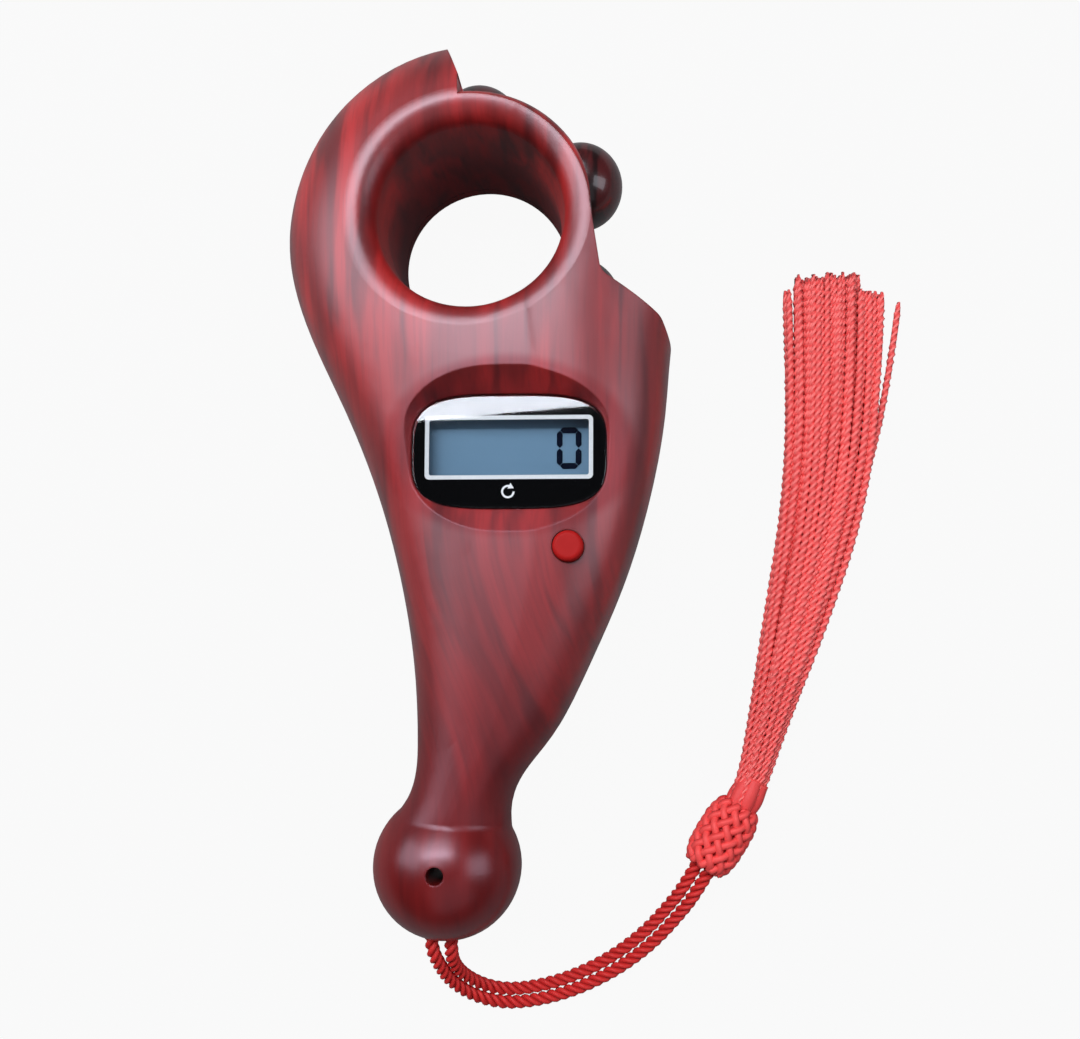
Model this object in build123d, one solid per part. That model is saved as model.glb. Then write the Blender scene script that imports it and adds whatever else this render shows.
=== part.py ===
from build123d import *
import math
import os

# Lengths are in millimetres. The origin lies on the axis of the finger hole, on the plane where the
# two shells meet. +Z points to the display, +Y to the hook and -Y to the ball and its cord.

# Finger tube and bead wheel
BORE_R = 10.0
TUBE_WALL = 1.3
RUN_GAP = 0.08
BAND_WALL = 1.9
BAND_HALF = 5.0
AXIAL_GAP = 0.3
BEAD_R = 4.85
BEAD_OUT = 0.47
BEAD_COUNT = 6
FIRST_BEAD_ANGLE = 29.0
PEG_R = 1.2
PEG_INSET = 0.5
BEAD_GAP = 0.5
RING_WALL = 1.5
TUBE_SPIGOT = 1.6
SPIGOT_GAP = 0.05

# Outer form: sections of a dome from the hook over the ring and the handle to the neck, then a ball
DOME_EXPONENT = 2.5
DOME_STEPS = 8
HORN_X = 1.4
HORN_Y = -0.9
HORN_BORDER = 2.48
HORN_HEIGHT_SHARE = 0.511
HORN_PLACE_SHARES = [0.985, 0.93, 0.83, 0.66, 0.42, 0.2, 0.0]
GRIP_LENGTH = 48.0
# Place down the grip, left and right edge, height, each as a share, and the exponent of the section
HANDLE_SHARES = [
    (-0.2, 0.896, 0.926, 0.966, 2.5),
    (-0.0125, 0.714, 0.887, 0.907, 2.5),
    (0.1958, 0.537, 0.81, 0.839, 2.5),
    (0.4041, 0.416, 0.68, 0.771, 2.5),
    (0.6126, 0.346, 0.494, 0.686, 2.4),
    (0.7791, 0.329, 0.303, 0.61, 2.3),
    (0.8625, 0.342, 0.173, 0.585, 2.2),
    (0.9126, 0.381, 0.132, 0.576, 2.1),
    (0.9542, 0.446, 0.126, 0.572, 2.0),
    (1.0, 0.489, 0.13, 0.568, 2.0),
]
HOLLOW_FIRST = 1
HOLLOW_LAST = 6
BALL_SHIFT = 4.2
BALL_DROP = 3.15
BALL_SHARE = 0.36
NECK_ROUND = 1.0
REST_Z = -9.0
WALL = 1.8
FAR = 40.0

# Mouth of the finger hole
MOUTH_START_Z = 3.0
MOUTH_RISE = 12.0
MOUTH_WIDER = 0.85
MOUTH_SHIFT_X = 0.6
MOUTH_SHIFT_Y = -0.8
MOUTH_ROUND = 2.5
BACK_ROUND = 1.0

# Cut-out that bares the beads
LIP_OVER = 0.32
LIP_LAP = 0.15
LIP_ROUND = 1.35
LIP_FALL = 2.8
LIP_DROP = 0.2
# Angle about the finger hole, and the share of the full rounding there
LIP_ROUND_SHARES = [(94.0, 1.0), (70.0, 1.0), (46.0, 0.9), (22.0, 0.55), (-1.0, 0.15)]
HOOK_ROOT_ANGLE = 91.3
HOOK_ROOT_INSET = 0.3
HOOK_FACE_ANGLE = 110.1
NOTCH_ANGLE = -26.7
NOTCH_OUT = 2.86
SHOULDER_ANGLE = -28.5
SHOULDER_RUN = 7.4
SHOULDER_FALL = 4.0
SHOULDER_FALL_ANGLE = -60.0
NOTCH_ROUND = 1.6

# Display: lens, dish and what lies under it. A place is a share of the ring's radius to the right of
# the ring's middle, and a share of the grip's length below the wheel's wall.
LENS_SHARES = (0.145, 0.1223)
LENS_SIDE_BORDER = 1.45
LENS_END_BORDER = 2.75
LENS_EXPONENT = 3.6
LENS_TOP_Z = 8.2
LENS_THICK = 1.0
LENS_GAP = 0.08
LENS_EDGE = 0.25
OVAL_STEPS = 32
DISH_RISE = 4.3
DISH_UPPER_SHARE = 0.9
DISH_LOWER_SHARE = 2.0
DISH_SIDE_SHARE = 0.85
DISH_EXPONENT = 2.4
TUB_SIDE = 3.5
TUB_END = 4.0
FILM_THICK = 0.15
FILM_INSET = 0.15
LEDGE_THICK = 1.4
WINDOW_SHIFT_X = -0.09
WINDOW_SHIFT_Y = 0.59
LINE_WIDTH = 18.3
LINE_HEIGHT = 7.0
LINE_STROKE = 0.45
LINE_ROUND = 0.5
LEDGE_WINDOW_MARGIN = 0.4

# Display cell on the board
GLASS_SIDE_BORDER = 0.75
GLASS_UPPER_BORDER = 0.33
GLASS_LOWER_BORDER = 2.37
GLASS_TOP_Z = 5.3
GLASS_THICK = 2.0
REFLECTOR_THICK = 0.2
FRAME_WALL = 0.8
FRAME_GAP = 0.05
FRAME_LEDGE = 0.8
FRAME_ROOM = 0.1
ZEBRA_DEPTH = 1.7
ZEBRA_INSET = 0.3

# Circuit board
BOARD_TOP_Z = 1.4
BOARD_THICK = 1.0
BOARD_SHARES = [(-0.3723, 0.0083), (0.619, 0.0083), (0.4762, 0.4667), (-0.2597, 0.4667)]
BLOB_RISE = 0.9
BLOB_R = 3.4
BLOB_HEIGHT = 0.9
CHIP_WIDTH = 1.6
CHIP_DEPTH = 0.8
CHIP_HEIGHT = 0.7
CHIP_SHARES = (-0.1472, 0.4209)
CHIP_PITCH = 2.4
CHIP_COUNT = 2
BOARD_SCREW_SHARES = [(-0.1991, 0.3416), (0.1212, 0.425)]
BOARD_BOSS_R = 2.2
BOARD_SCREW_R = 0.9
BOARD_SCREW_HEAD_R = 1.6
BOARD_SCREW_HEAD = 0.9
BOARD_SCREW_REACH = 3.6
THREAD_GAP = 0.02
HOLE_GAP = 0.15

# Reset button
BUTTON_ACROSS = 6.45
BUTTON_DROP = 4.15
BUTTON_R = 1.68
BUTTON_TOP_Z = 9.4
BUTTON_ROUND = 0.5
BUTTON_GAP = 0.06
GUIDE_R = 3.0
FLANGE_R = 2.5
FLANGE_THICK = 1.0
STEM_R = 1.0
DOME_TOP_Z = 3.0
DOME_R = 2.5
DOME_WALL = 0.4

# Cell, its contacts and the door in the back
CELL_SHARES = (0.1429, 0.175)
CELL_R = 5.8
CELL_THICK = 3.05
CELL_GAP = 0.3
CELL_EDGE = 0.4
WELL_WALL = 1.1
WELL_TOP_Z = -4.6
CLIP_THICK = 0.2
CLIP_WIDTH = 3.0
CLIP_REACH = 3.0
CLIP_NOTCH = 0.6
SPRING_WIDTH = 2.4
SPRING_PAD = 2.5
DOOR_WIDTH = 14.0
DOOR_ABOVE = 7.0
DOOR_BELOW = 10.6
DOOR_THICK = 1.3
DOOR_ROUND = 2.5
DOOR_GAP = 0.12
DOOR_SCREW_DROP = 8.2
DOOR_SCREW_R = 0.9
DOOR_SCREW_HEAD_R = 1.5
DOOR_SCREW_HEAD = 0.7
DOOR_SCREW_REACH = 2.4
DOOR_BOSS_R = 2.2

# Screws that close the shells, put in from the back
SHELL_SCREW_SHARES = [(-0.5108, 0.0209), (0.7316, -0.0333), (0.0693, 0.6333)]
SHELL_SCREW_R = 1.0
SHELL_SCREW_HEAD_R = 1.8
SHELL_SCREW_HEAD = 1.3
SHELL_SCREW_SEAT_Z = -4.2
SHELL_SCREW_REACH = 4.0
SHELL_BOSS_R = 2.4
SEAT_BOSS_R = 3.0

# Leaf that each bead pushes aside, from its tip at the wheel to its foot under the board
LEAF_TIP_ANGLE = 299.0
LEAF_TIP_GAP = 0.25
LEAF_FOOT_SHARES = (0.5926, 0.0217)
LEAF_THICK = 0.3
LEAF_TOP_Z = -0.3
LEAF_HEIGHT = 2.4
LEAF_FOOT = 1.2
LEAF_SLOT_GAP = 0.7

# Cord, doubled round a post in the ball, and its tassel
CORD_R = 0.75
CORD_PITCH = 1.58
CORNER_SHARE = 0.45
POST_R = 1.7
POST_HOLE_R = 0.95
BALL_WALL = 2.0
EXIT_SHIFT = 0.7
EXIT_DROP = 7.25
EXIT_HALF_GAP = 1.12
EXIT_RUN = 2.0
EXIT_POINTS = 2
SLOT_GAP = 0.2
BIGHT_HALF_WIDTH = 2.9
BIGHT_TOP = 3.3
HEAD_ACROSS = 31.94
HEAD_UP = 9.83
HEAD_HEADING = 58.5
HEAD_LENGTH = 9.5
HEAD_WIDTH = 6.2
HEAD_CUT = 4.0
BINDING_LENGTH = 2.6
BINDING_R = 2.1
SKIRT_LENGTH = 61.04
SKIRT_WIDTH = 12.8
SKIRT_THICK = 4.5
# Place across and along, both as shares of the length, then the shares of the width and thickness
SKIRT_SHARES = [
    (0.0444, 0.1301, 0.4531, 0.9778),
    (0.1034, 0.3365, 0.6484, 1.0),
    (0.1493, 0.5413, 0.7969, 0.9111),
    (0.1755, 0.7625, 0.9844, 0.7333),
    (0.1706, 1.0, 1.0, 0.4889),
]

# Sizes that follow from the ones above
TUBE_R = BORE_R + TUBE_WALL
BAND_BORE_R = TUBE_R + RUN_GAP
BAND_R = BAND_BORE_R + BAND_WALL
BEAD_CIRCLE_R = BAND_R + BEAD_OUT
LIP_R = BAND_R + LIP_OVER
SLOT_HALF = BAND_HALF + AXIAL_GAP
CAVITY_R = BEAD_CIRCLE_R + BEAD_R + BEAD_GAP
RING_WALL_R = CAVITY_R + RING_WALL
HORN_R = RING_WALL_R + HORN_BORDER
HORN_HEIGHT = HORN_HEIGHT_SHARE * HORN_R
BALL_X = HORN_X - BALL_SHIFT
GRIP_TOP_Y = -RING_WALL_R
BALL_Y = GRIP_TOP_Y - GRIP_LENGTH - BALL_DROP
BALL_R = BALL_SHARE * HORN_R
SPIGOT_END_Z = -SLOT_HALF - TUBE_SPIGOT


def place(shares):
    """Point at a share of the ring's radius to the right and a share of the grip's length down."""
    across, down = shares
    return HORN_X + across * HORN_R, GRIP_TOP_Y - down * GRIP_LENGTH


LENS_X, LENS_Y = place(LENS_SHARES)
LENS_HALF_WIDTH = LINE_WIDTH / 2 + LENS_SIDE_BORDER
LENS_HALF_HEIGHT = LINE_HEIGHT / 2 + LENS_END_BORDER
LENS_LOW_Z = LENS_TOP_Z - LENS_THICK
MASK_LOW_Z = LENS_LOW_Z - FILM_THICK
LEDGE_TOP_Z = MASK_LOW_Z - FILM_THICK
TUB_LOW_Z = LEDGE_TOP_Z - LEDGE_THICK
GUIDE_END_Z = TUB_LOW_Z
WINDOW_X = LENS_X + WINDOW_SHIFT_X
WINDOW_Y = LENS_Y + WINDOW_SHIFT_Y
GLASS_X = WINDOW_X
GLASS_WIDTH = LINE_WIDTH + 2 * GLASS_SIDE_BORDER
GLASS_HEIGHT = LINE_HEIGHT + GLASS_UPPER_BORDER + GLASS_LOWER_BORDER
GLASS_TOP_Y = WINDOW_Y + LINE_HEIGHT / 2 + GLASS_UPPER_BORDER
GLASS_Y = GLASS_TOP_Y - GLASS_HEIGHT / 2
GLASS_LOW_Z = GLASS_TOP_Z - GLASS_THICK
REFLECTOR_LOW_Z = GLASS_LOW_Z - REFLECTOR_THICK
FRAME_WIDTH = GLASS_WIDTH + 2 * (FRAME_WALL + FRAME_GAP)
FRAME_HEIGHT = GLASS_HEIGHT + 2 * (FRAME_WALL + FRAME_GAP)
BUTTON_X = LENS_X + BUTTON_ACROSS
BUTTON_Y = LENS_Y - LENS_HALF_HEIGHT - BUTTON_DROP
BOARD_LOW_Z = BOARD_TOP_Z - BOARD_THICK
BOARD_SCREW_PLACES = [place(shares) for shares in BOARD_SCREW_SHARES]
SHELL_SCREW_PLACES = [place(shares) for shares in SHELL_SCREW_SHARES]
CELL_X, CELL_Y = place(CELL_SHARES)
DOOR_TOP_Y = CELL_Y + DOOR_ABOVE
DOOR_BOTTOM_Y = CELL_Y - DOOR_BELOW
DOOR_SCREW_Y = CELL_Y - DOOR_SCREW_DROP
DOOR_TOP_Z = REST_Z + DOOR_THICK
CELL_LOW_Z = DOOR_TOP_Z + CLIP_THICK
CELL_TOP_Z = CELL_LOW_Z + CELL_THICK
WELL_R = CELL_R + CELL_GAP
DOOR_HEIGHT = DOOR_TOP_Y - DOOR_BOTTOM_Y
DOOR_Y = (DOOR_TOP_Y + DOOR_BOTTOM_Y) / 2
EXIT_X = BALL_X - EXIT_SHIFT
EXIT_Y = BALL_Y - EXIT_DROP
CORD_FLOOR_Z = REST_Z + CORD_R
HEAD_Z = REST_Z + HEAD_WIDTH / 2
HEAD_DIRECTION = Vector(1, 0, 0).rotate(Axis.Z, HEAD_HEADING)
HEAD_CENTRE = Vector(EXIT_X + HEAD_ACROSS, EXIT_Y + HEAD_UP, HEAD_Z)

# Middle line of the two strands, from the ball to the tassel, chosen by eye on the photograph
CORD_ROUTE = [
    (EXIT_X, EXIT_Y, 0),
    (EXIT_X, EXIT_Y - EXIT_RUN, 0),
    (-3.2, -83.1, -1.7),
    (-2.4, -85.3, -4.2),
    (-0.4, -87.3, -6.6),
    (2.6, -88.4, CORD_FLOOR_Z + 0.3),
    (6.4, -88.1, CORD_FLOOR_Z + 0.1),
    (10.8, -86.9, CORD_FLOOR_Z + 0.1),
    (15.6, -84.6, CORD_FLOOR_Z + 0.1),
    (19.9, -81.4, CORD_FLOOR_Z + 0.2),
    (23.2, -77.6, CORD_FLOOR_Z + 0.9),
]


def quarter_points(half_width, height, exponent):
    """Points of a quarter superellipse, from its rim to its crown."""
    points = []
    for step in range(DOME_STEPS + 1):
        turn = math.pi / 2 * step / DOME_STEPS
        across = half_width * abs(math.cos(turn)) ** (2 / exponent)
        up = height * math.sin(turn) ** (2 / exponent)
        points.append((across, up))
    return points


def dome_section(y, left, right, height, exponent, inset=0.0):
    """Upright section of the front half at one place along the handle."""
    centre = (left + right) / 2
    points = quarter_points((right - left) / 2 - inset, height - inset, exponent)
    right_side = [Vector(centre + across, y, up) for across, up in points]
    left_side = [Vector(centre - across, y, up) for across, up in reversed(points)]
    edges = [
        Spline(*right_side, tangents=[(0, 0, 1), (-1, 0, 0)]),
        Spline(*left_side, tangents=[(-1, 0, 0), (0, 0, -1)]),
        Line(left_side[-1], right_side[0]),
    ]
    return Face(Wire(edges))


def horn_station(share):
    """Section of the round end, at a share of its radius above its middle."""
    half_width = HORN_R * math.sqrt(1 - share**2)
    height = HORN_HEIGHT * (1 - share**DOME_EXPONENT) ** (1 / DOME_EXPONENT)
    return HORN_Y + HORN_R * share, HORN_X - half_width, HORN_X + half_width, height, DOME_EXPONENT


def handle_station(shares):
    down, left, right, height, exponent = shares
    y = GRIP_TOP_Y - GRIP_LENGTH * down
    return y, HORN_X - HORN_R * left, HORN_X + HORN_R * right, HORN_HEIGHT * height, exponent


def on_ball(edge):
    """Whether an edge lies on the ball, above the plane where the shells meet."""
    reaches = [(edge @ share - Vector(BALL_X, BALL_Y, 0)).length for share in (0, 0.5, 1)]
    return max(abs(reach - BALL_R) for reach in reaches) < SPIGOT_GAP and (edge @ 0.5).Z > WALL


def front_form():
    """Solid front half of the housing, before anything is cut."""
    stations = [horn_station(share) for share in HORN_PLACE_SHARES]
    stations += [handle_station(shares) for shares in HANDLE_SHARES]
    body = loft([dome_section(*station) for station in stations])
    ball = split(Pos(BALL_X, BALL_Y, 0) * Sphere(BALL_R), bisect_by=Plane.XY, keep=Keep.TOP)
    form = body + ball
    return fillet(form.edges().filter_by(on_ball), NECK_ROUND)


def handle_space():
    """Hollow of the handle in the front half, clear of the wheel's ring wall."""
    stations = [handle_station(shares) for shares in HANDLE_SHARES[HOLLOW_FIRST:HOLLOW_LAST]]
    inner = loft([dome_section(*station, inset=WALL) for station in stations])
    return inner - Cylinder(RING_WALL_R, FAR)


def upright(radius, x, y, low, high):
    """Cylinder along Z between two heights."""
    return Pos(x, y, low) * Cylinder(radius, high - low, align=(Align.CENTER, Align.CENTER, Align.MIN))


def block(width, depth, x, y, low, high):
    """Box between two heights, centred on a point."""
    return Pos(x, y, low) * Box(width, depth, high - low, align=(Align.CENTER, Align.CENTER, Align.MIN))


def oval_face(half_width, half_height, exponent):
    """Flat superellipse about the origin."""
    points = []
    for step in range(OVAL_STEPS):
        turn = 2 * math.pi * step / OVAL_STEPS
        across = math.copysign(abs(math.cos(turn)) ** (2 / exponent), math.cos(turn))
        along = math.copysign(abs(math.sin(turn)) ** (2 / exponent), math.sin(turn))
        points.append((half_width * across, half_height * along))
    return make_face(Spline(*points, periodic=True))


def lens_prism(inset, low, high):
    """Prism of the lens outline, smaller by the inset."""
    face = oval_face(LENS_HALF_WIDTH - inset, LENS_HALF_HEIGHT - inset, LENS_EXPONENT)
    return Pos(LENS_X, LENS_Y, low) * extrude(face, amount=high - low)


def window_prism(width, height, rounding, low, high):
    """Rounded rectangular prism about the display window."""
    face = RectangleRounded(width, height, rounding)
    return Pos(WINDOW_X, WINDOW_Y, low) * extrude(face, amount=high - low)


def wheel_space():
    """Ring-shaped slot in which the bead wheel turns."""
    return Cylinder(CAVITY_R, 2 * SLOT_HALF) - Cylinder(TUBE_R, 2 * SLOT_HALF)


def finger_opening():
    """Straight bore with a small round at the back, and a mouth that leans to the round end's middle."""
    low_centre = (BORE_R + BACK_ROUND, REST_Z + BACK_ROUND)
    low_r = BORE_R + BACK_ROUND
    outline = [
        Polyline((low_r, REST_Z), (low_r, -FAR), (0, -FAR), (0, MOUTH_START_Z), (BORE_R, MOUTH_START_Z)),
        Line((BORE_R, MOUTH_START_Z), (BORE_R, REST_Z + BACK_ROUND)),
        CenterArc(low_centre, BACK_ROUND, 180, 90),
    ]
    bore = revolve(Plane.XZ * make_face(outline), Axis.Z)
    mouth_top = Pos(MOUTH_SHIFT_X, MOUTH_SHIFT_Y, MOUTH_START_Z + MOUTH_RISE) * Circle(BORE_R + MOUTH_WIDER)
    return bore + loft([Pos(0, 0, MOUTH_START_Z) * Circle(BORE_R), mouth_top])


def mouth_edge(edge):
    """Whether an edge runs round the front end of the finger hole."""
    middle = edge @ 0.5
    return math.hypot(middle.X, middle.Y) < LIP_R and middle.Z > SLOT_HALF


def open_form():
    """Front half with the finger hole and the wide round of its mouth."""
    bored = front_form() - finger_opening()
    return fillet(bored.edges().filter_by(mouth_edge), MOUTH_ROUND)


def horn_height(x, y):
    """Height of the round end over a point."""
    share = max(y - HORN_Y, 0) / HORN_R
    _, left, right, height, exponent = horn_station(share)
    across = abs(2 * x - left - right) / (right - left)
    return height * (1 - across**exponent) ** (1 / exponent)


def lip_round():
    """Cutter that rounds the outer edge of the bared lip, most beside the hook, least at the shoulder."""
    sections = []
    for angle, share in LIP_ROUND_SHARES:
        edge = Vector(LIP_R, 0).rotate(Axis.Z, angle)
        crest = horn_height(edge.X, edge.Y) - LIP_DROP
        across, fall = LIP_ROUND * share, LIP_FALL * share
        outer = LIP_R + LIP_LAP
        far = outer + LIP_ROUND
        above = crest + LIP_FALL
        centre = (outer - across, crest - fall)
        rounding = EllipticalCenterArc(centre, across, fall, start_angle=0, arc_size=90)
        rest = Polyline((outer - across, crest), (outer - across, above), (far, above), (far, crest - fall))
        profile = make_face([rounding, rest, Line((far, crest - fall), (outer, crest - fall))])
        sections.append(Plane.XZ.rotated((0, 0, angle)) * profile)
    return loft(sections)


def cut_out():
    """Open sector between the hook and the shoulder, outside the lip of the finger hole."""
    hook_root = Vector(LIP_R - HOOK_ROOT_INSET, 0).rotate(Axis.Z, HOOK_ROOT_ANGLE)
    hook_far = hook_root + Vector(FAR, 0).rotate(Axis.Z, HOOK_FACE_ANGLE)
    notch = Vector(LIP_R + NOTCH_OUT, 0).rotate(Axis.Z, NOTCH_ANGLE)
    shoulder = notch + Vector(SHOULDER_RUN, 0).rotate(Axis.Z, SHOULDER_ANGLE)
    fall = shoulder + Vector(SHOULDER_FALL, 0).rotate(Axis.Z, SHOULDER_FALL_ANGLE)
    corners = [hook_root, hook_far, (FAR, hook_far.Y), (FAR, fall.Y), fall, shoulder, notch]
    corners += [(LIP_R - RUN_GAP, 0), (0, 0)]
    region = make_face(Polyline(*corners, close=True)) - Circle(LIP_R)
    rounded = [region.vertices().sort_by_distance(corner)[0] for corner in (notch, shoulder, hook_root)]
    return extrude(fillet(rounded, NOTCH_ROUND), amount=FAR, both=True)


def display_dish():
    """Oval dish that falls from the surface to the lens, with the lens pocket and the window."""
    lens_face = oval_face(LENS_HALF_WIDTH + LENS_GAP, LENS_HALF_HEIGHT + LENS_GAP, LENS_EXPONENT)
    top = LENS_HALF_HEIGHT + LENS_GAP + DISH_RISE * DISH_UPPER_SHARE
    bottom = LENS_HALF_HEIGHT + LENS_GAP + DISH_RISE * DISH_LOWER_SHARE
    half_width = LENS_HALF_WIDTH + LENS_GAP + DISH_RISE * DISH_SIDE_SHARE
    mouth = oval_face(half_width, (top + bottom) / 2, DISH_EXPONENT)
    mouth_place = Pos(LENS_X, LENS_Y + (top - bottom) / 2, LENS_TOP_Z + DISH_RISE)
    slope = loft([Pos(LENS_X, LENS_Y, LENS_TOP_Z) * lens_face, mouth_place * mouth])
    pocket = lens_prism(-LENS_GAP, LEDGE_TOP_Z, LENS_TOP_Z)
    margin = 2 * LEDGE_WINDOW_MARGIN
    window = window_prism(LINE_WIDTH + margin, LINE_HEIGHT + margin, LINE_ROUND, TUB_LOW_Z, LEDGE_TOP_Z)
    return slope + pocket + window


def ball_space():
    """Hollow of the ball round its post, the slot for the two strands and the hole through the post."""
    place = Pos(BALL_X, BALL_Y, 0)
    hollow = place * (Sphere(BALL_R - BALL_WALL) - Cylinder(POST_R, FAR))
    hole = place * Cylinder(POST_HOLE_R, FAR)
    slot_r = CORD_R + SLOT_GAP
    mouth = SlotCenterToCenter(2 * EXIT_HALF_GAP, 2 * slot_r)
    run = BALL_R - BALL_WALL
    slot = Pos(EXIT_X, BALL_Y - BALL_R, 0) * extrude(Plane.XZ * mouth, amount=run, both=True)
    return hollow + hole + slot


def front_housing():
    tub_face = oval_face(LENS_HALF_WIDTH + TUB_SIDE, LENS_HALF_HEIGHT + TUB_END, DISH_EXPONENT)
    tub = Pos(LENS_X, LENS_Y, TUB_LOW_Z) * extrude(tub_face, amount=FAR)
    guide = upright(GUIDE_R, BUTTON_X, BUTTON_Y, GUIDE_END_Z, FAR)
    kept = [tub, guide]
    kept += [upright(SHELL_BOSS_R, x, y, 0, FAR) for x, y in SHELL_SCREW_PLACES]
    kept += [upright(BOARD_BOSS_R, x, y, BOARD_TOP_Z, FAR) for x, y in BOARD_SCREW_PLACES]
    shell = open_form() - (handle_space() - kept)
    shell -= [cut_out(), lip_round(), display_dish(), ball_space(), wheel_space()]
    shell += Pos(0, 0, SPIGOT_END_Z) * Cylinder(
        TUBE_R, SLOT_HALF - SPIGOT_END_Z, align=(Align.CENTER, Align.CENTER, Align.MIN)
    )
    button_hole = upright(BUTTON_R + BUTTON_GAP, BUTTON_X, BUTTON_Y, 0, FAR)
    shell_end = SHELL_SCREW_REACH + HOLE_GAP
    board_end = BOARD_TOP_Z + BOARD_SCREW_REACH + HOLE_GAP
    pilots = [upright(SHELL_SCREW_R + THREAD_GAP, x, y, -FAR, shell_end) for x, y in SHELL_SCREW_PLACES]
    pilots += [upright(BOARD_SCREW_R + THREAD_GAP, x, y, -FAR, board_end) for x, y in BOARD_SCREW_PLACES]
    room_x, room_y = FRAME_WIDTH + 2 * FRAME_ROOM, FRAME_HEIGHT + 2 * FRAME_ROOM
    frame_room = block(room_x, room_y, GLASS_X, GLASS_Y, BOARD_LOW_Z, GLASS_TOP_Z + FRAME_ROOM)
    return shell - [finger_opening(), button_hole, frame_room, *pilots]


def leaf_run():
    """Tip of the leaf, and the way from there to its foot."""
    tip = Vector(BAND_R + LEAF_TIP_GAP, 0).rotate(Axis.Z, LEAF_TIP_ANGLE)
    return tip, Vector(*place(LEAF_FOOT_SHARES)) - tip


def leaf_place():
    """Tip of the leaf, turned along its run."""
    tip, run = leaf_run()
    return Pos(tip.X, tip.Y, 0) * Rot(0, 0, math.degrees(math.atan2(run.Y, run.X)))


def leaf_box(width, low, high, start, end):
    """Box along the leaf's run, between two distances from its tip."""
    run = Box(end - start, width, high - low, align=(Align.MIN, Align.CENTER, Align.MIN))
    return leaf_place() * Pos(start, 0, low) * run


def door_face(gap):
    return RectangleRounded(DOOR_WIDTH + 2 * gap, DOOR_HEIGHT + 2 * gap, DOOR_ROUND)


def back_form():
    """Solid back half: the front half mirrored, with a flat to lie on."""
    return split(mirror(front_form(), about=Plane.XY), bisect_by=Plane((0, 0, REST_Z)), keep=Keep.TOP)


def back_housing(form):
    space = mirror(handle_space(), about=Plane.XY)
    space = split(space, bisect_by=Plane((0, 0, REST_Z + WALL)), keep=Keep.TOP)
    kept = [upright(SEAT_BOSS_R, x, y, -FAR, 0) for x, y in SHELL_SCREW_PLACES]
    kept.append(upright(WELL_R + WELL_WALL, CELL_X, CELL_Y, -FAR, WELL_TOP_Z))
    kept.append(upright(DOOR_BOSS_R, CELL_X, DOOR_SCREW_Y, -FAR, WELL_TOP_Z))
    shell = form - (space - kept)
    socket = upright(TUBE_R + SPIGOT_GAP, 0, 0, SPIGOT_END_Z - SPIGOT_GAP, 0)
    well = upright(WELL_R, CELL_X, CELL_Y, DOOR_TOP_Z, 0)
    door_seat = Pos(CELL_X, DOOR_Y, -FAR) * extrude(door_face(DOOR_GAP), amount=FAR + DOOR_TOP_Z)
    notch_x = CELL_X + WELL_R
    notch = block(2 * CLIP_NOTCH, CLIP_WIDTH + CLIP_NOTCH, notch_x, CELL_Y, DOOR_TOP_Z, 0)
    door_pilot = upright(
        DOOR_SCREW_R + THREAD_GAP, CELL_X, DOOR_SCREW_Y, -FAR, DOOR_TOP_Z + DOOR_SCREW_REACH + HOLE_GAP
    )
    slot_low = LEAF_TOP_Z - LEAF_HEIGHT - LEAF_SLOT_GAP
    leaf_slot = leaf_box(LEAF_THICK + 2 * LEAF_SLOT_GAP, slot_low, 0, 0, leaf_run()[1].length)
    shell -= [cut_out(), ball_space(), wheel_space(), socket, well, door_seat, notch, door_pilot, leaf_slot]
    for x, y in SHELL_SCREW_PLACES:
        shell -= upright(SHELL_SCREW_HEAD_R + HOLE_GAP, x, y, -FAR, SHELL_SCREW_SEAT_Z)
        shell -= upright(SHELL_SCREW_R + HOLE_GAP, x, y, SHELL_SCREW_SEAT_Z, 0)
    return shell - finger_opening()


def screw(radius, head_r, head, reach):
    """Pan-head screw that points up from the seat of its head."""
    shank = Cylinder(radius, reach, align=(Align.CENTER, Align.CENTER, Align.MIN))
    cap = Cylinder(head_r, head, align=(Align.CENTER, Align.CENTER, Align.MAX))
    slot = Pos(0, 0, -head) * Box(2 * head_r, radius / 2, head, align=Align.CENTER)
    return shank + cap - slot


def polar(radius, angle):
    return Pos(Vector(radius, 0).rotate(Axis.Z, angle)) * Rot(0, 0, angle)


def bead_angles():
    return [FIRST_BEAD_ANGLE + 360 / BEAD_COUNT * index for index in range(BEAD_COUNT)]


def bead_peg(angle):
    """Peg that holds a bead in the band."""
    length = BEAD_CIRCLE_R - BAND_BORE_R - PEG_INSET
    return polar(BAND_BORE_R + PEG_INSET, angle) * Rot(0, 90, 0) * Cylinder(
        PEG_R, length, align=(Align.CENTER, Align.CENTER, Align.MIN)
    )


def bead(angle):
    ball = polar(BEAD_CIRCLE_R, angle) * Sphere(BEAD_R)
    return ball - Cylinder(BAND_R, FAR) + bead_peg(angle)


def bead_wheel():
    band = Cylinder(BAND_R, 2 * BAND_HALF) - Cylinder(BAND_BORE_R, 2 * BAND_HALF)
    return band - [bead_peg(angle) for angle in bead_angles()]


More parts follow.
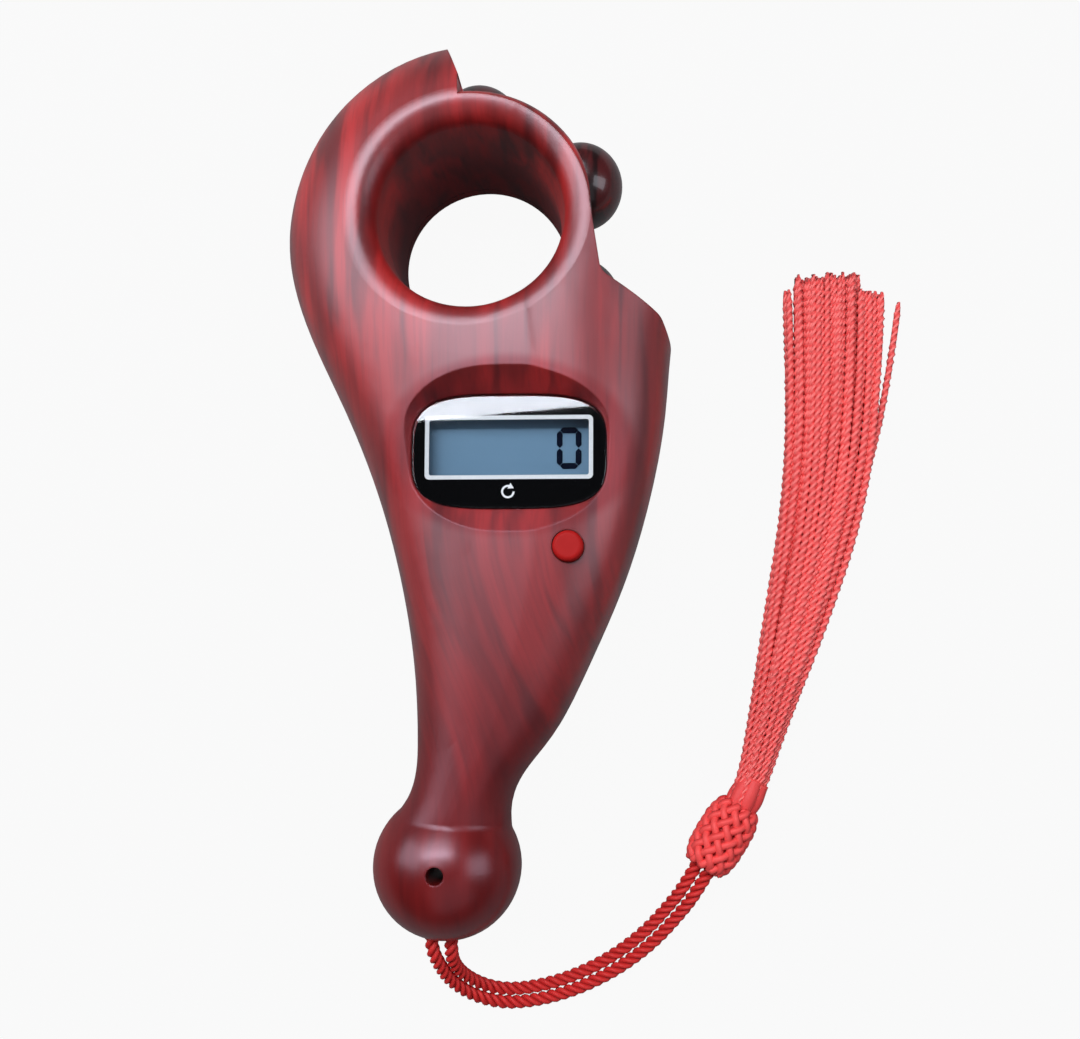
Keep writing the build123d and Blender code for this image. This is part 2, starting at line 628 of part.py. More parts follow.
def display_parts():
    """Lens, its print and tape, and the display cell in its frame."""
    lens = lens_prism(0, LENS_LOW_Z, LENS_TOP_Z)
    lens = fillet(lens.edges().group_by(Axis.Z)[-1], LENS_EDGE)
    line_outer = window_prism(LINE_WIDTH, LINE_HEIGHT, LINE_ROUND, MASK_LOW_Z, LENS_LOW_Z)
    stroke = 2 * LINE_STROKE
    inner_width, inner_height = LINE_WIDTH - stroke, LINE_HEIGHT - stroke
    line_inner = window_prism(inner_width, inner_height, LINE_ROUND / 2, MASK_LOW_Z, LENS_LOW_Z)
    margin = 2 * LEDGE_WINDOW_MARGIN
    tape_hole = window_prism(LINE_WIDTH + margin, LINE_HEIGHT + margin, LINE_ROUND, LEDGE_TOP_Z, MASK_LOW_Z)
    inner_x, inner_y = GLASS_WIDTH + 2 * FRAME_GAP, GLASS_HEIGHT + 2 * FRAME_GAP
    frame = block(FRAME_WIDTH, FRAME_HEIGHT, GLASS_X, GLASS_Y, BOARD_TOP_Z, GLASS_TOP_Z)
    frame -= block(inner_x, inner_y, GLASS_X, GLASS_Y, REFLECTOR_LOW_Z, GLASS_TOP_Z)
    frame -= block(inner_x - 2 * FRAME_LEDGE, inner_y, GLASS_X, GLASS_Y, BOARD_TOP_Z, REFLECTOR_LOW_Z)
    zebra_y = GLASS_Y - GLASS_HEIGHT / 2 + ZEBRA_INSET + ZEBRA_DEPTH / 2
    zebra_width = inner_x - 2 * FRAME_LEDGE - 2 * ZEBRA_INSET
    foil_height = GLASS_HEIGHT - ZEBRA_DEPTH - 2 * ZEBRA_INSET
    foil_y = GLASS_TOP_Y - foil_height / 2
    return {
        "display_lens": lens,
        "lens_mask": lens_prism(FILM_INSET, MASK_LOW_Z, LENS_LOW_Z) - line_outer,
        "lens_line": line_outer - line_inner,
        "lens_tape": lens_prism(FILM_INSET, LEDGE_TOP_Z, MASK_LOW_Z) - tape_hole,
        "lcd_glass": block(GLASS_WIDTH, GLASS_HEIGHT, GLASS_X, GLASS_Y, GLASS_LOW_Z, GLASS_TOP_Z),
        "lcd_reflector": block(GLASS_WIDTH, foil_height, GLASS_X, foil_y, REFLECTOR_LOW_Z, GLASS_LOW_Z),
        "zebra_strip": block(zebra_width, ZEBRA_DEPTH, GLASS_X, zebra_y, BOARD_TOP_Z, GLASS_LOW_Z),
        "lcd_frame": frame,
    }


def board_parts():
    """Circuit board with its covered chip and small parts."""
    outline = [place(shares) for shares in BOARD_SHARES]
    board = Pos(0, 0, BOARD_LOW_Z) * extrude(make_face(Polyline(*outline, close=True)), amount=BOARD_THICK)
    for x, y in BOARD_SCREW_PLACES:
        board -= upright(BOARD_SCREW_R + HOLE_GAP, x, y, BOARD_LOW_Z, BOARD_TOP_Z)
    cap_r = (BLOB_R**2 + BLOB_HEIGHT**2) / (2 * BLOB_HEIGHT)
    blob = Pos(GLASS_X, GLASS_Y + BLOB_RISE, BOARD_TOP_Z + BLOB_HEIGHT - cap_r) * Sphere(cap_r)
    parts = {
        "circuit_board": board,
        "chip_blob": split(blob, bisect_by=Plane((0, 0, BOARD_TOP_Z)), keep=Keep.TOP),
    }
    chip_x, chip_y = place(CHIP_SHARES)
    chip_top = BOARD_TOP_Z + CHIP_HEIGHT
    for index in range(CHIP_COUNT):
        chip = block(CHIP_WIDTH, CHIP_DEPTH, chip_x + CHIP_PITCH * index, chip_y, BOARD_TOP_Z, chip_top)
        parts[f"chip_part_{index + 1}"] = chip
    reach = BOARD_THICK + BOARD_SCREW_REACH
    for index, (x, y) in enumerate(BOARD_SCREW_PLACES):
        fastener = screw(BOARD_SCREW_R, BOARD_SCREW_HEAD_R, BOARD_SCREW_HEAD, reach)
        parts[f"board_screw_{index + 1}"] = Pos(x, y, BOARD_LOW_Z) * fastener
    return parts


def button_parts():
    """Reset button and the rubber dome under it."""
    flange_low = GUIDE_END_Z - FLANGE_THICK
    button = upright(BUTTON_R, BUTTON_X, BUTTON_Y, flange_low, BUTTON_TOP_Z)
    button = fillet(button.edges().group_by(Axis.Z)[-1], BUTTON_ROUND)
    button += upright(FLANGE_R, BUTTON_X, BUTTON_Y, flange_low, GUIDE_END_Z)
    button += upright(STEM_R, BUTTON_X, BUTTON_Y, DOME_TOP_Z, flange_low)
    height = DOME_TOP_Z - BOARD_TOP_Z
    standing = (Align.CENTER, Align.CENTER, Align.MIN)
    cup = Cone(DOME_R, STEM_R, height, align=standing)
    cup -= Cone(DOME_R - DOME_WALL, STEM_R - DOME_WALL, height - DOME_WALL, align=standing)
    return {"reset_button": button, "reset_dome": Pos(BUTTON_X, BUTTON_Y, BOARD_TOP_Z) * cup}


def cell_parts():
    """Button cell, its two contacts, the door in the back and the door's screw."""
    cell = upright(CELL_R, CELL_X, CELL_Y, CELL_LOW_Z, CELL_TOP_Z)
    cell = fillet(cell.edges().filter_by(GeomType.CIRCLE), CELL_EDGE)
    riser_x = CELL_X + CELL_R + CLIP_THICK
    clip_end = riser_x + CLIP_THICK / 2
    clip_length = CLIP_REACH + clip_end - CELL_X
    clip = block(clip_length, CLIP_WIDTH, clip_end - clip_length / 2, CELL_Y, DOOR_TOP_Z, CELL_LOW_Z)
    clip += block(CLIP_THICK, CLIP_WIDTH, riser_x, CELL_Y, CELL_LOW_Z, BOARD_LOW_Z)
    leg_x = CELL_X - SPRING_PAD
    spring = block(CLIP_THICK, SPRING_WIDTH, leg_x, CELL_Y, CELL_TOP_Z, BOARD_LOW_Z)
    foot_x = leg_x + SPRING_PAD / 2
    spring += block(SPRING_PAD, SPRING_WIDTH, foot_x, CELL_Y, CELL_TOP_Z, CELL_TOP_Z + CLIP_THICK)
    pad_x = leg_x - SPRING_PAD / 2
    spring += block(SPRING_PAD, SPRING_WIDTH, pad_x, CELL_Y, BOARD_LOW_Z - CLIP_THICK, BOARD_LOW_Z)
    return {"button_cell": cell, "cell_clip": clip, "cell_spring": spring}


def door_parts(form):
    """Door that follows the back surface, and its screw."""
    door = form & Pos(CELL_X, DOOR_Y, -FAR) * extrude(door_face(0), amount=FAR + DOOR_TOP_Z)
    seat = DOOR_TOP_Z - DOOR_THICK + DOOR_SCREW_HEAD
    door -= upright(DOOR_SCREW_HEAD_R + HOLE_GAP, CELL_X, DOOR_SCREW_Y, -FAR, seat)
    door -= upright(DOOR_SCREW_R + HOLE_GAP, CELL_X, DOOR_SCREW_Y, -FAR, DOOR_TOP_Z)
    fastener = screw(DOOR_SCREW_R, DOOR_SCREW_HEAD_R, DOOR_SCREW_HEAD, DOOR_TOP_Z - seat + DOOR_SCREW_REACH)
    return {"battery_door": door, "door_screw": Pos(CELL_X, DOOR_SCREW_Y, seat) * fastener}


def click_spring():
    length = leaf_run()[1].length
    low = LEAF_TOP_Z - LEAF_HEIGHT
    leaf = leaf_box(LEAF_THICK, low, LEAF_TOP_Z, 0, length)
    return leaf + leaf_box(LEAF_FOOT, low, BOARD_LOW_Z, length, length + LEAF_FOOT)


def corner_radii(points):
    """Largest arcs that the runs between the points allow."""
    radii = []
    for before, corner, after in zip(points, points[1:], points[2:]):
        turn = math.radians((corner - before).get_angle(after - corner))
        shorter = min((corner - before).length, (after - corner).length)
        radii.append(CORNER_SHARE * shorter / math.tan(turn / 2))
    return radii


def tube(name, points):
    """Round cord through a list of points, with an arc at each corner."""
    points = [Vector(*point) for point in points]
    radii = corner_radii(points)
    path = FilletPolyline(*points, radius=radii)
    start = Plane(path @ 0, z_dir=path % 0)
    solid = sweep(start * Circle(CORD_R), path=path)
    expected = math.pi * CORD_R**2 * path.length
    print(name, "radii", [round(radius, 1) for radius in radii], "length", round(path.length, 1))
    print(name, "volume over section times length", round(solid.volume / expected, 3))
    return solid


def strand_points(side):
    """Route of one strand, beside the middle line of the two."""
    head_face = HEAD_CENTRE - HEAD_DIRECTION * HEAD_CUT
    approach = head_face - HEAD_DIRECTION * (HEAD_WIDTH / 2)
    middle = [Vector(*point) for point in CORD_ROUTE] + [approach, head_face]
    points = []
    for index, point in enumerate(middle):
        before = middle[max(index - 1, 0)]
        after = middle[min(index + 1, len(middle) - 1)]
        along = Vector(after.X - before.X, after.Y - before.Y, 0).normalized()
        half_gap = CORD_PITCH / 2
        if index < EXIT_POINTS:
            along = Vector(0, -1, 0)
            half_gap = EXIT_HALF_GAP
        points.append(point + along.rotate(Axis.Z, 90) * (side * half_gap))
    return points


def cord_parts():
    """Loop round the post in the ball, and the two strands that leave it."""
    top = BALL_Y + BIGHT_TOP
    bight = [
        (EXIT_X - EXIT_HALF_GAP, EXIT_Y, 0),
        (EXIT_X - EXIT_HALF_GAP, EXIT_Y + EXIT_RUN, 0),
        (BALL_X - BIGHT_HALF_WIDTH, BALL_Y, 0),
        (BALL_X - BIGHT_HALF_WIDTH / 2, top, 0),
        (BALL_X + BIGHT_HALF_WIDTH / 2, top, 0),
        (BALL_X + BIGHT_HALF_WIDTH, BALL_Y, 0),
        (EXIT_X + EXIT_HALF_GAP, EXIT_Y + EXIT_RUN, 0),
        (EXIT_X + EXIT_HALF_GAP, EXIT_Y, 0),
    ]
    return {
        "cord_bight": tube("cord_bight", bight),
        "cord_strand_left": tube("cord_strand_left", strand_points(-1)),
        "cord_strand_right": tube("cord_strand_right", strand_points(1)),
    }


def tassel_parts():
    """Braided head, its binding and the skirt, lying on the same surface as the housing."""
    half_length = HEAD_LENGTH / 2
    side = EllipticalCenterArc((0, 0), HEAD_WIDTH / 2, half_length, start_angle=-90, arc_size=180)
    profile = make_face([side, Line((0, half_length), (0, -half_length))])
    egg = revolve(profile, Axis.Y) & Box(HEAD_WIDTH, 2 * HEAD_CUT, HEAD_WIDTH)
    head = Pos(HEAD_CENTRE) * Rot(0, 0, HEAD_HEADING - 90) * egg
    face_r = HEAD_WIDTH / 2 * math.sqrt(1 - (2 * HEAD_CUT / HEAD_LENGTH) ** 2)
    root = HEAD_CENTRE + HEAD_DIRECTION * HEAD_CUT
    binding = Plane(root, z_dir=HEAD_DIRECTION) * Cone(
        face_r, BINDING_R, BINDING_LENGTH, align=(Align.CENTER, Align.CENTER, Align.MIN)
    )
    start = root + HEAD_DIRECTION * BINDING_LENGTH
    centres = [start]
    sizes = [(2 * BINDING_R, 2 * BINDING_R)]
    for across, along, width, thick in SKIRT_SHARES:
        x = start.X + SKIRT_LENGTH * across
        y = start.Y + SKIRT_LENGTH * along
        centres.append(Vector(x, y, REST_Z + SKIRT_THICK * thick / 2))
        sizes.append((SKIRT_WIDTH * width, SKIRT_THICK * thick))
    sections = []
    for index, (centre, (width, thick)) in enumerate(zip(centres, sizes)):
        before = centres[max(index - 1, 0)]
        after = centres[min(index + 1, len(centres) - 1)]
        along = HEAD_DIRECTION if index == 0 else Vector(after.X - before.X, after.Y - before.Y, 0)
        across = along.rotate(Axis.Z, -90)
        sections.append(Plane(centre, x_dir=across, z_dir=along) * Ellipse(width / 2, thick / 2))
    return {"tassel_head": head, "tassel_binding": binding, "tassel_skirt": loft(sections)}


def all_parts():
    form = back_form()
    parts = {
        "front_housing": front_housing(),
        "back_housing": back_housing(form),
        "bead_wheel": bead_wheel(),
        "click_spring": click_spring(),
    }
    for index, angle in enumerate(bead_angles()):
        parts[f"wheel_bead_{index + 1}"] = bead(angle)
    reach = SHELL_SCREW_REACH - SHELL_SCREW_SEAT_Z
    for index, (x, y) in enumerate(SHELL_SCREW_PLACES):
        fastener = screw(SHELL_SCREW_R, SHELL_SCREW_HEAD_R, SHELL_SCREW_HEAD, reach)
        parts[f"shell_screw_{index + 1}"] = Pos(x, y, SHELL_SCREW_SEAT_Z) * fastener
    groups = [display_parts(), board_parts(), button_parts(), cell_parts(), door_parts(form)]
    groups += [cord_parts(), tassel_parts()]
    for group in groups:
        parts.update(group)
    return parts


os.makedirs("parts", exist_ok=True)
for name, shape in all_parts().items():
    export_step(shape, f"parts/{name}.step")
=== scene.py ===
"""Looks of a finger tally counter: printed housing, display, bead wheel, twisted cord and silk tassel."""

import math
import random

import bpy
from mathutils import Matrix, Vector


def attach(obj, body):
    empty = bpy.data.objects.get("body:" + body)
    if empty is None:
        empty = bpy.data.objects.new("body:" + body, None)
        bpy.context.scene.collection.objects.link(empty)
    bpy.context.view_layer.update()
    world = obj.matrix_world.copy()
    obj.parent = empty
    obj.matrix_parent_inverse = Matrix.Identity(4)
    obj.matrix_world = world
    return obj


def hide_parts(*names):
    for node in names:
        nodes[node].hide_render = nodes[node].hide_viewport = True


MM = 0.001
SMOOTH = {"interpolation_type": "SMOOTHSTEP"}
BLEND = {"data_type": "RGBA"}
INK = {"Roughness": 0.8, "Specular IOR Level": 0.0}

# The object lies on a floor, in mm, and the sheet that is seen is a little lower, clear of the back
FLOOR_Z = -9.0
FLOOR_GAP = 0.2

# Printed film: axis along which it changes, start and end in mm, value at the start and at the end
FILM_BANDS = {
    # The film lies aslant below the display, so its streaks shift sideways there, in metres
    "lean": ("Y", -66.0, -34.0, -0.009, 0.0),
    # The colour grows darker from the ring to the ball
    "deep": ("Y", -66.0, 12.0, 0.66, 0.0),
    # Share of painted shade down the finger hole, growing further in
    "hole_shade": ("Z", -4.0, 7.0, 0.6, 0.0),
    # Roughness, with a smoother ball
    "satin": ("Y", -69.0, -65.0, 0.28, 0.42),
    # Share of thin lacquer on the neck and on the ball
    "neck": ("Y", -62.0, -46.0, 1.0, 0.0),
}
# Soft edges of the finger hole and of the display's oval dish, in mm, the last as a share of the oval
HOLE_EDGE = (10.3, 11.4)
DISH_CENTRE = Vector((4.75, -26.3, 0.0))
DISH_HALF_SIZE = (13.6, 9.4)
DISH_EDGE = (0.95, 1.08)
EDGE_ROUNDING = 0.3

# The cord's middle line as in the part's source, in mm, from the ball to the tassel
CORD_R = 0.75
CORD_PITCH = 1.58
LEFT_STRAND_LENGTH = 47.2
RIGHT_STRAND_LENGTH = 43.6
EXIT = Vector((-3.5, -79.0, 0.0))
EXIT_HALF_GAP = 1.12
EXIT_RUN = 2.0
CORD_FLOOR_Z = FLOOR_Z + CORD_R
CORD_ROUTE = [
    (-3.5, -79.0, 0.0),
    (-3.5, -81.0, 0.0),
    (-3.2, -83.1, -1.7),
    (-2.4, -85.3, -4.2),
    (-0.4, -87.3, -6.6),
    (2.6, -88.4, CORD_FLOOR_Z + 0.3),
    (6.4, -88.1, CORD_FLOOR_Z + 0.1),
    (10.8, -86.9, CORD_FLOOR_Z + 0.1),
    (15.6, -84.6, CORD_FLOOR_Z + 0.1),
    (19.9, -81.4, CORD_FLOOR_Z + 0.2),
    (23.2, -77.6, CORD_FLOOR_Z + 0.9),
]
BALL = Vector((-2.8, -71.75, 0.0))
BIGHT_HALF_WIDTH = 2.9
BIGHT_TOP = 3.3

# The tassel, in mm
HEAD_CENTRE = Vector((28.44, -69.17, FLOOR_Z + 3.1))
HEAD_HEADING = math.radians(58.5)
HEAD_LENGTH = 9.5
HEAD_WIDTH = 6.2
HEAD_CUT = 4.0
AHEAD = Vector((math.cos(HEAD_HEADING), math.sin(HEAD_HEADING), 0.0))
ASIDE = Vector((AHEAD.y, -AHEAD.x, 0.0))
UP = Vector((0.0, 0.0, 1.0))
BINDING_LENGTH = 2.6
BINDING_R = 2.1
YARN_R = 0.5
YARN_COUNT = 66
YARN_PITCH = 2.0
# Share of its radius by which a yarn stays within the skirt's thickness
YARN_SETTLED = 0.8
# How much a yarn's place, its path and its cut tip vary at random
YARN_DRIFT = 0.05
YARN_WANDER = 0.25
YARN_CUT = 0.35
# Middle of the skirt on the floor, its width and its thickness
SKIRT_STATIONS = [
    (34.2, -55.6, 5.6, 4.4),
    (37.7, -43.0, 8.4, 4.5),
    (40.8, -30.5, 10.5, 4.1),
    (42.5, -17.0, 12.6, 3.3),
    (42.8, -2.5, 13.4, 2.2),
]
# Yarns up to this share of the half width end this much further out, in mm
TIP_STEPS = [(-0.86, -0.9), (-0.2, 0.9), (0.0, 1.5), (0.08, -0.7), (0.5, 1.3), (1.1, -0.9)]
# One yarn lies astray: its place in the skirt, then where it leaves and where it ends
STRAY_PLACE = (0.9, 0.0)
STRAY_LEAVES = Vector((48.9, -16.5, FLOOR_Z + 1.2))
STRAY_TIP = Vector((50.7, -4.5, FLOOR_Z + 0.6))

# What the display shows, in mm
DIGIT_CENTRE = Vector((11.1, -25.6, 5.3))
DIGIT_WIDTH = 2.72
DIGIT_HEIGHT = 4.6
DIGIT_STROKE = 0.64
DIGIT_GAP = 0.1
DIGIT_POINT = 0.48
DIGIT_THICK = 0.08
SIGN_CENTRE = Vector((4.6, -30.75, 7.23))
SIGN_R = 0.62
SIGN_STROKE = 0.11
SIGN_GAP = math.radians(62.0)
SIGN_HEAD = 0.42
SIGN_HEAD_TAPER = 0.9
SIGN_HEAD_EDGE = 0.03
SIGN_THICK = 0.03

# Steps of a curve between two control points, and the place in the yarn's pattern that its cut ends show
CURVE_STEPS = 40
CUT_END_TURN = 0.25

# Camera at the photograph's angle, in metres
CAMERA_PLACE = (0.01867, -0.05259, 0.12172)
CAMERA_AXIS = Vector((-0.03848, 0.06837, -0.99692))
CAMERA_LENS = 35.73
CAMERA_SENSOR = 36.0
CAMERA_SHIFT = (-0.0528, 0.0938)

# Lamps: place, size in metres and brightness; those overhead hang level, a little turned
STAGE_MIDDLE = (0.0, -0.03, 0.0)
SOFTBOXES = {
    "left_softbox": ((-0.46, 0.12, 0.37), (0.36, 0.42), 3.0),
    "right_softbox": ((0.49, -0.03, 0.34), (0.28, 0.36), 2.6),
    "front_softbox": ((0.12, -0.42, 0.42), (0.6, 0.5), 0.3),
}
OVERHEAD = {
    "window_strip": ((-0.082, 0.132, 0.5), (0.44, 0.05), 24.0),
    "ceiling_panel": ((-0.096, 0.306, 0.5), (0.44, 0.3), 4.2),
}
OVERHEAD_TURN = math.radians(4.6)
FLOOR_SIZE = 8.0
FLOOR_WHITE = 0.94
FLOOR_MIRRORED = 0.1
ROOM_LIGHT = 0.06
# Rays straight through a pane have met two faces, and those that it mirrors inside have met more
THROUGH_A_PANE = 2.5

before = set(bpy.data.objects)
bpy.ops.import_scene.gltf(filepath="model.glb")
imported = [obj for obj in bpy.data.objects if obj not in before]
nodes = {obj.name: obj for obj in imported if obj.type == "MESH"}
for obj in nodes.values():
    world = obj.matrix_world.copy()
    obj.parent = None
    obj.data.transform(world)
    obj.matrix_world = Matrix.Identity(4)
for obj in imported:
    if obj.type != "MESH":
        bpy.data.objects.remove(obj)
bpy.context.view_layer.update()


def linear(code):
    """Linear colour of an sRGB hex code."""
    channels = []
    for start in (0, 2, 4):
        value = int(code[start : start + 2], 16) / 255
        channels.append(value / 12.92 if value <= 0.04045 else ((value + 0.055) / 1.055) ** 2.4)
    return (*channels, 1.0)


def add(tree, kind, options, sockets):
    """Add one shader node, set its options, and fill its sockets with values or links."""
    made = tree.nodes.new("ShaderNode" + kind)
    for name, value in options.items():
        setattr(made, name, value)
    for name, value in sockets.items():
        if isinstance(value, bpy.types.NodeSocket):
            tree.links.new(value, made.inputs[name])
        else:
            made.inputs[name].default_value = value
    return made.outputs


def new_finish(name):
    """Empty material with a node tree."""
    finish = bpy.data.materials.new(name)
    finish.use_nodes = True
    finish.node_tree.nodes.clear()
    return finish, finish.node_tree


def repeats(across, along, deep):
    """Pattern scale for sizes in mm."""
    return (1 / (across * MM), 1 / (along * MM), 1 / (deep * MM))


def rosewood_film():
    """ABS moulding with a printed rosewood film under lacquer: soft dark streaks along the handle, satin."""
    finish, tree = new_finish("rosewood_film_abs")
    dark = linear("420d0b")
    place = add(tree, "TexCoord", {}, {})["Object"]
    axes = add(tree, "SeparateXYZ", {}, {"Vector": place})
    bands = {}
    for name, (axis, start, end, first, last) in FILM_BANDS.items():
        limits = {"From Min": start * MM, "From Max": end * MM, "To Min": first, "To Max": last}
        bands[name] = add(tree, "MapRange", SMOOTH, {"Value": axes[axis], **limits})[0]
    across = add(tree, "Math", {"operation": "ADD"}, {0: axes["X"], 1: bands["lean"]})[0]
    film = add(tree, "CombineXYZ", {}, {"X": across, "Y": axes["Y"], "Z": axes["Z"]})[0]

    # Clouds of redder and browner wood, 5 mm wide and 30 mm long
    cloud_place = add(tree, "Mapping", {}, {"Vector": film, "Scale": repeats(5.0, 30.0, 9.0)})[0]
    clouds = add(tree, "TexNoise", {}, {"Vector": cloud_place, "Scale": 1.0, "Detail": 2.0})[0]
    red_share = add(tree, "MapRange", SMOOTH, {"Value": clouds, "From Min": 0.38, "From Max": 0.6})[0]
    wood = add(tree, "Mix", BLEND, {0: red_share, 6: linear("8c1f1c"), 7: linear("bc2926")})[2]
    # Dark streaks, 2 mm wide and 20 mm long
    streak_place = add(tree, "Mapping", {}, {"Vector": film, "Scale": repeats(2.0, 20.0, 7.0)})[0]
    streaks = add(
        tree, "TexNoise", {}, {"Vector": streak_place, "Scale": 1.0, "Detail": 2.0, "Distortion": 0.3}
    )[0]
    dark_share = add(
        tree, "MapRange", SMOOTH, {"Value": streaks, "From Min": 0.44, "From Max": 0.74, "To Max": 0.75}
    )[0]
    streaked = add(tree, "Mix", BLEND, {0: dark_share, 6: wood, 7: dark})[2]
    # Fine pores of the wood, 0.35 mm wide and 7 mm long
    pore_place = add(tree, "Mapping", {}, {"Vector": film, "Scale": repeats(0.35, 7.0, 2.0)})[0]
    pores = add(tree, "TexNoise", {}, {"Vector": pore_place, "Scale": 1.0, "Detail": 2.0})[0]
    pore_share = add(
        tree, "MapRange", {}, {"Value": pores, "From Min": 0.45, "From Max": 0.75, "To Max": 0.25}
    )[0]
    grained = add(tree, "Mix", BLEND, {0: pore_share, 6: streaked, 7: dark})[2]
    darkened = add(tree, "Mix", BLEND, {0: bands["deep"], 6: grained, 7: linear("5c0c0c")})[2]

    # Painted shade down the finger hole: the colour darkens further in, and the finish turns rougher there
    flat = add(tree, "CombineXYZ", {}, {"X": axes["X"], "Y": axes["Y"]})[0]
    radius = add(tree, "VectorMath", {"operation": "LENGTH"}, {0: flat})["Value"]
    hole_limits = {"From Min": HOLE_EDGE[0] * MM, "From Max": HOLE_EDGE[1] * MM, "To Min": 1.0, "To Max": 0.0}
    inside = add(tree, "MapRange", SMOOTH, {"Value": radius, **hole_limits})[0]
    hole_shade = add(tree, "Math", {"operation": "MULTIPLY"}, {0: inside, 1: bands["hole_shade"]})[0]
    colour = add(tree, "Mix", BLEND, {0: hole_shade, 6: darkened, 7: linear("34100e")})[2]

    # The lacquer rounds the moulded edges and lies a little unevenly over the grain
    edges = add(tree, "Bevel", {"samples": 4}, {"Radius": EDGE_ROUNDING * MM})[0]
    bump = add(
        tree, "Bump", {}, {"Height": pores, "Strength": 0.04, "Distance": 0.05 * MM, "Normal": edges}
    )[0]
    uneven = add(tree, "Math", {"operation": "MULTIPLY_ADD"}, {0: clouds, 1: 0.06, 2: bands["satin"]})[0]
    # The finish is rougher where the finger hole's shade is painted
    rough = add(tree, "Math", {"operation": "MULTIPLY_ADD"}, {0: hole_shade, 1: 0.4, 2: uneven})[0]

    # It is thin in the hole, in the oval dish round the display, on the neck and on the ball
    half_size = (DISH_HALF_SIZE[0] * MM, DISH_HALF_SIZE[1] * MM, 1.0)
    around = add(tree, "VectorMath", {"operation": "SUBTRACT"}, {0: flat, 1: DISH_CENTRE * MM})[0]
    oval = add(tree, "VectorMath", {"operation": "DIVIDE"}, {0: around, 1: half_size})[0]
    away = add(tree, "VectorMath", {"operation": "LENGTH"}, {0: oval})["Value"]
    dish_limits = {"From Min": DISH_EDGE[0], "From Max": DISH_EDGE[1], "To Min": 1.0, "To Max": 0.0}
    dish = add(tree, "MapRange", SMOOTH, {"Value": away, **dish_limits})[0]
    front = add(tree, "MapRange", {}, {"Value": axes["Z"], "From Min": 0.0, "From Max": 2.0 * MM})[0]
    front_dish = add(tree, "Math", {"operation": "MULTIPLY"}, {0: dish, 1: front})[0]
    hollows = add(tree, "Math", {"operation": "MAXIMUM"}, {0: inside, 1: front_dish})[0]
    thin = add(tree, "Math", {"operation": "MAXIMUM"}, {0: hollows, 1: bands["neck"]})[0]
    lacquer = add(tree, "MapRange", {}, {"Value": thin, "To Min": 1.0, "To Max": 0.1})[0]
    shader = add(
        tree,
        "BsdfPrincipled",
        {},
        {
            "Base Color": colour,
            "Roughness": rough,
            "IOR": 1.5,
            "Normal": bump,
            "Specular IOR Level": 0.8,
            "Specular Tint": linear("ffe4f3"),
            "Coat Weight": lacquer,
            "Coat Roughness": 0.35,
        },
    )[0]
    add(tree, "OutputMaterial", {}, {"Surface": shader})
    return finish


def lacquered_bead():
    """Turned bead with a dark rosewood stain under thick gloss lacquer: near black, sharp highlights."""
    finish, tree = new_finish("lacquered_dark_bead")
    place = add(tree, "TexCoord", {}, {})["Object"]
    streak_place = add(tree, "Mapping", {}, {"Vector": place, "Scale": repeats(1.2, 9.0, 3.0)})[0]
    streaks = add(tree, "TexNoise", {}, {"Vector": streak_place, "Scale": 1.0, "Detail": 3.0})[0]
    share = add(tree, "MapRange", SMOOTH, {"Value": streaks, "From Min": 0.4, "From Max": 0.65})[0]
    colour = add(tree, "Mix", BLEND, {0: share, 6: linear("521a1b"), 7: linear("220a0b")})[2]
    shader = add(
        tree,
        "BsdfPrincipled",
        {},
        {
            "Base Color": colour,
            "Roughness": 0.3,
            "IOR": 1.5,
            "Coat Weight": 0.7,
            "Coat Roughness": 0.08,
        },
    )[0]
    add(tree, "OutputMaterial", {}, {"Surface": shader})
    return finish


def mottled(name, base, shade, grain, settings, bump_height=0.0):
    """Plain finish with a soft mottle between two tones, grain in mm."""
    finish, tree = new_finish(name)
    place = add(tree, "TexCoord", {}, {})["Object"]
    spots = add(tree, "Mapping", {}, {"Vector": place, "Scale": repeats(grain, grain, grain)})[0]
    noise = add(tree, "TexNoise", {}, {"Vector": spots, "Scale": 1.0, "Detail": 3.0})[0]
    colour = add(tree, "Mix", BLEND, {0: noise, 6: linear(base), 7: linear(shade)})[2]
    sockets = {"Base Color": colour, **settings}
    if bump_height:
        sockets["Normal"] = add(
            tree, "Bump", {}, {"Height": noise, "Strength": 0.3, "Distance": bump_height * MM}
        )[0]
    shader = add(tree, "BsdfPrincipled", {}, sockets)[0]
    add(tree, "OutputMaterial", {}, {"Surface": shader})
    return finish


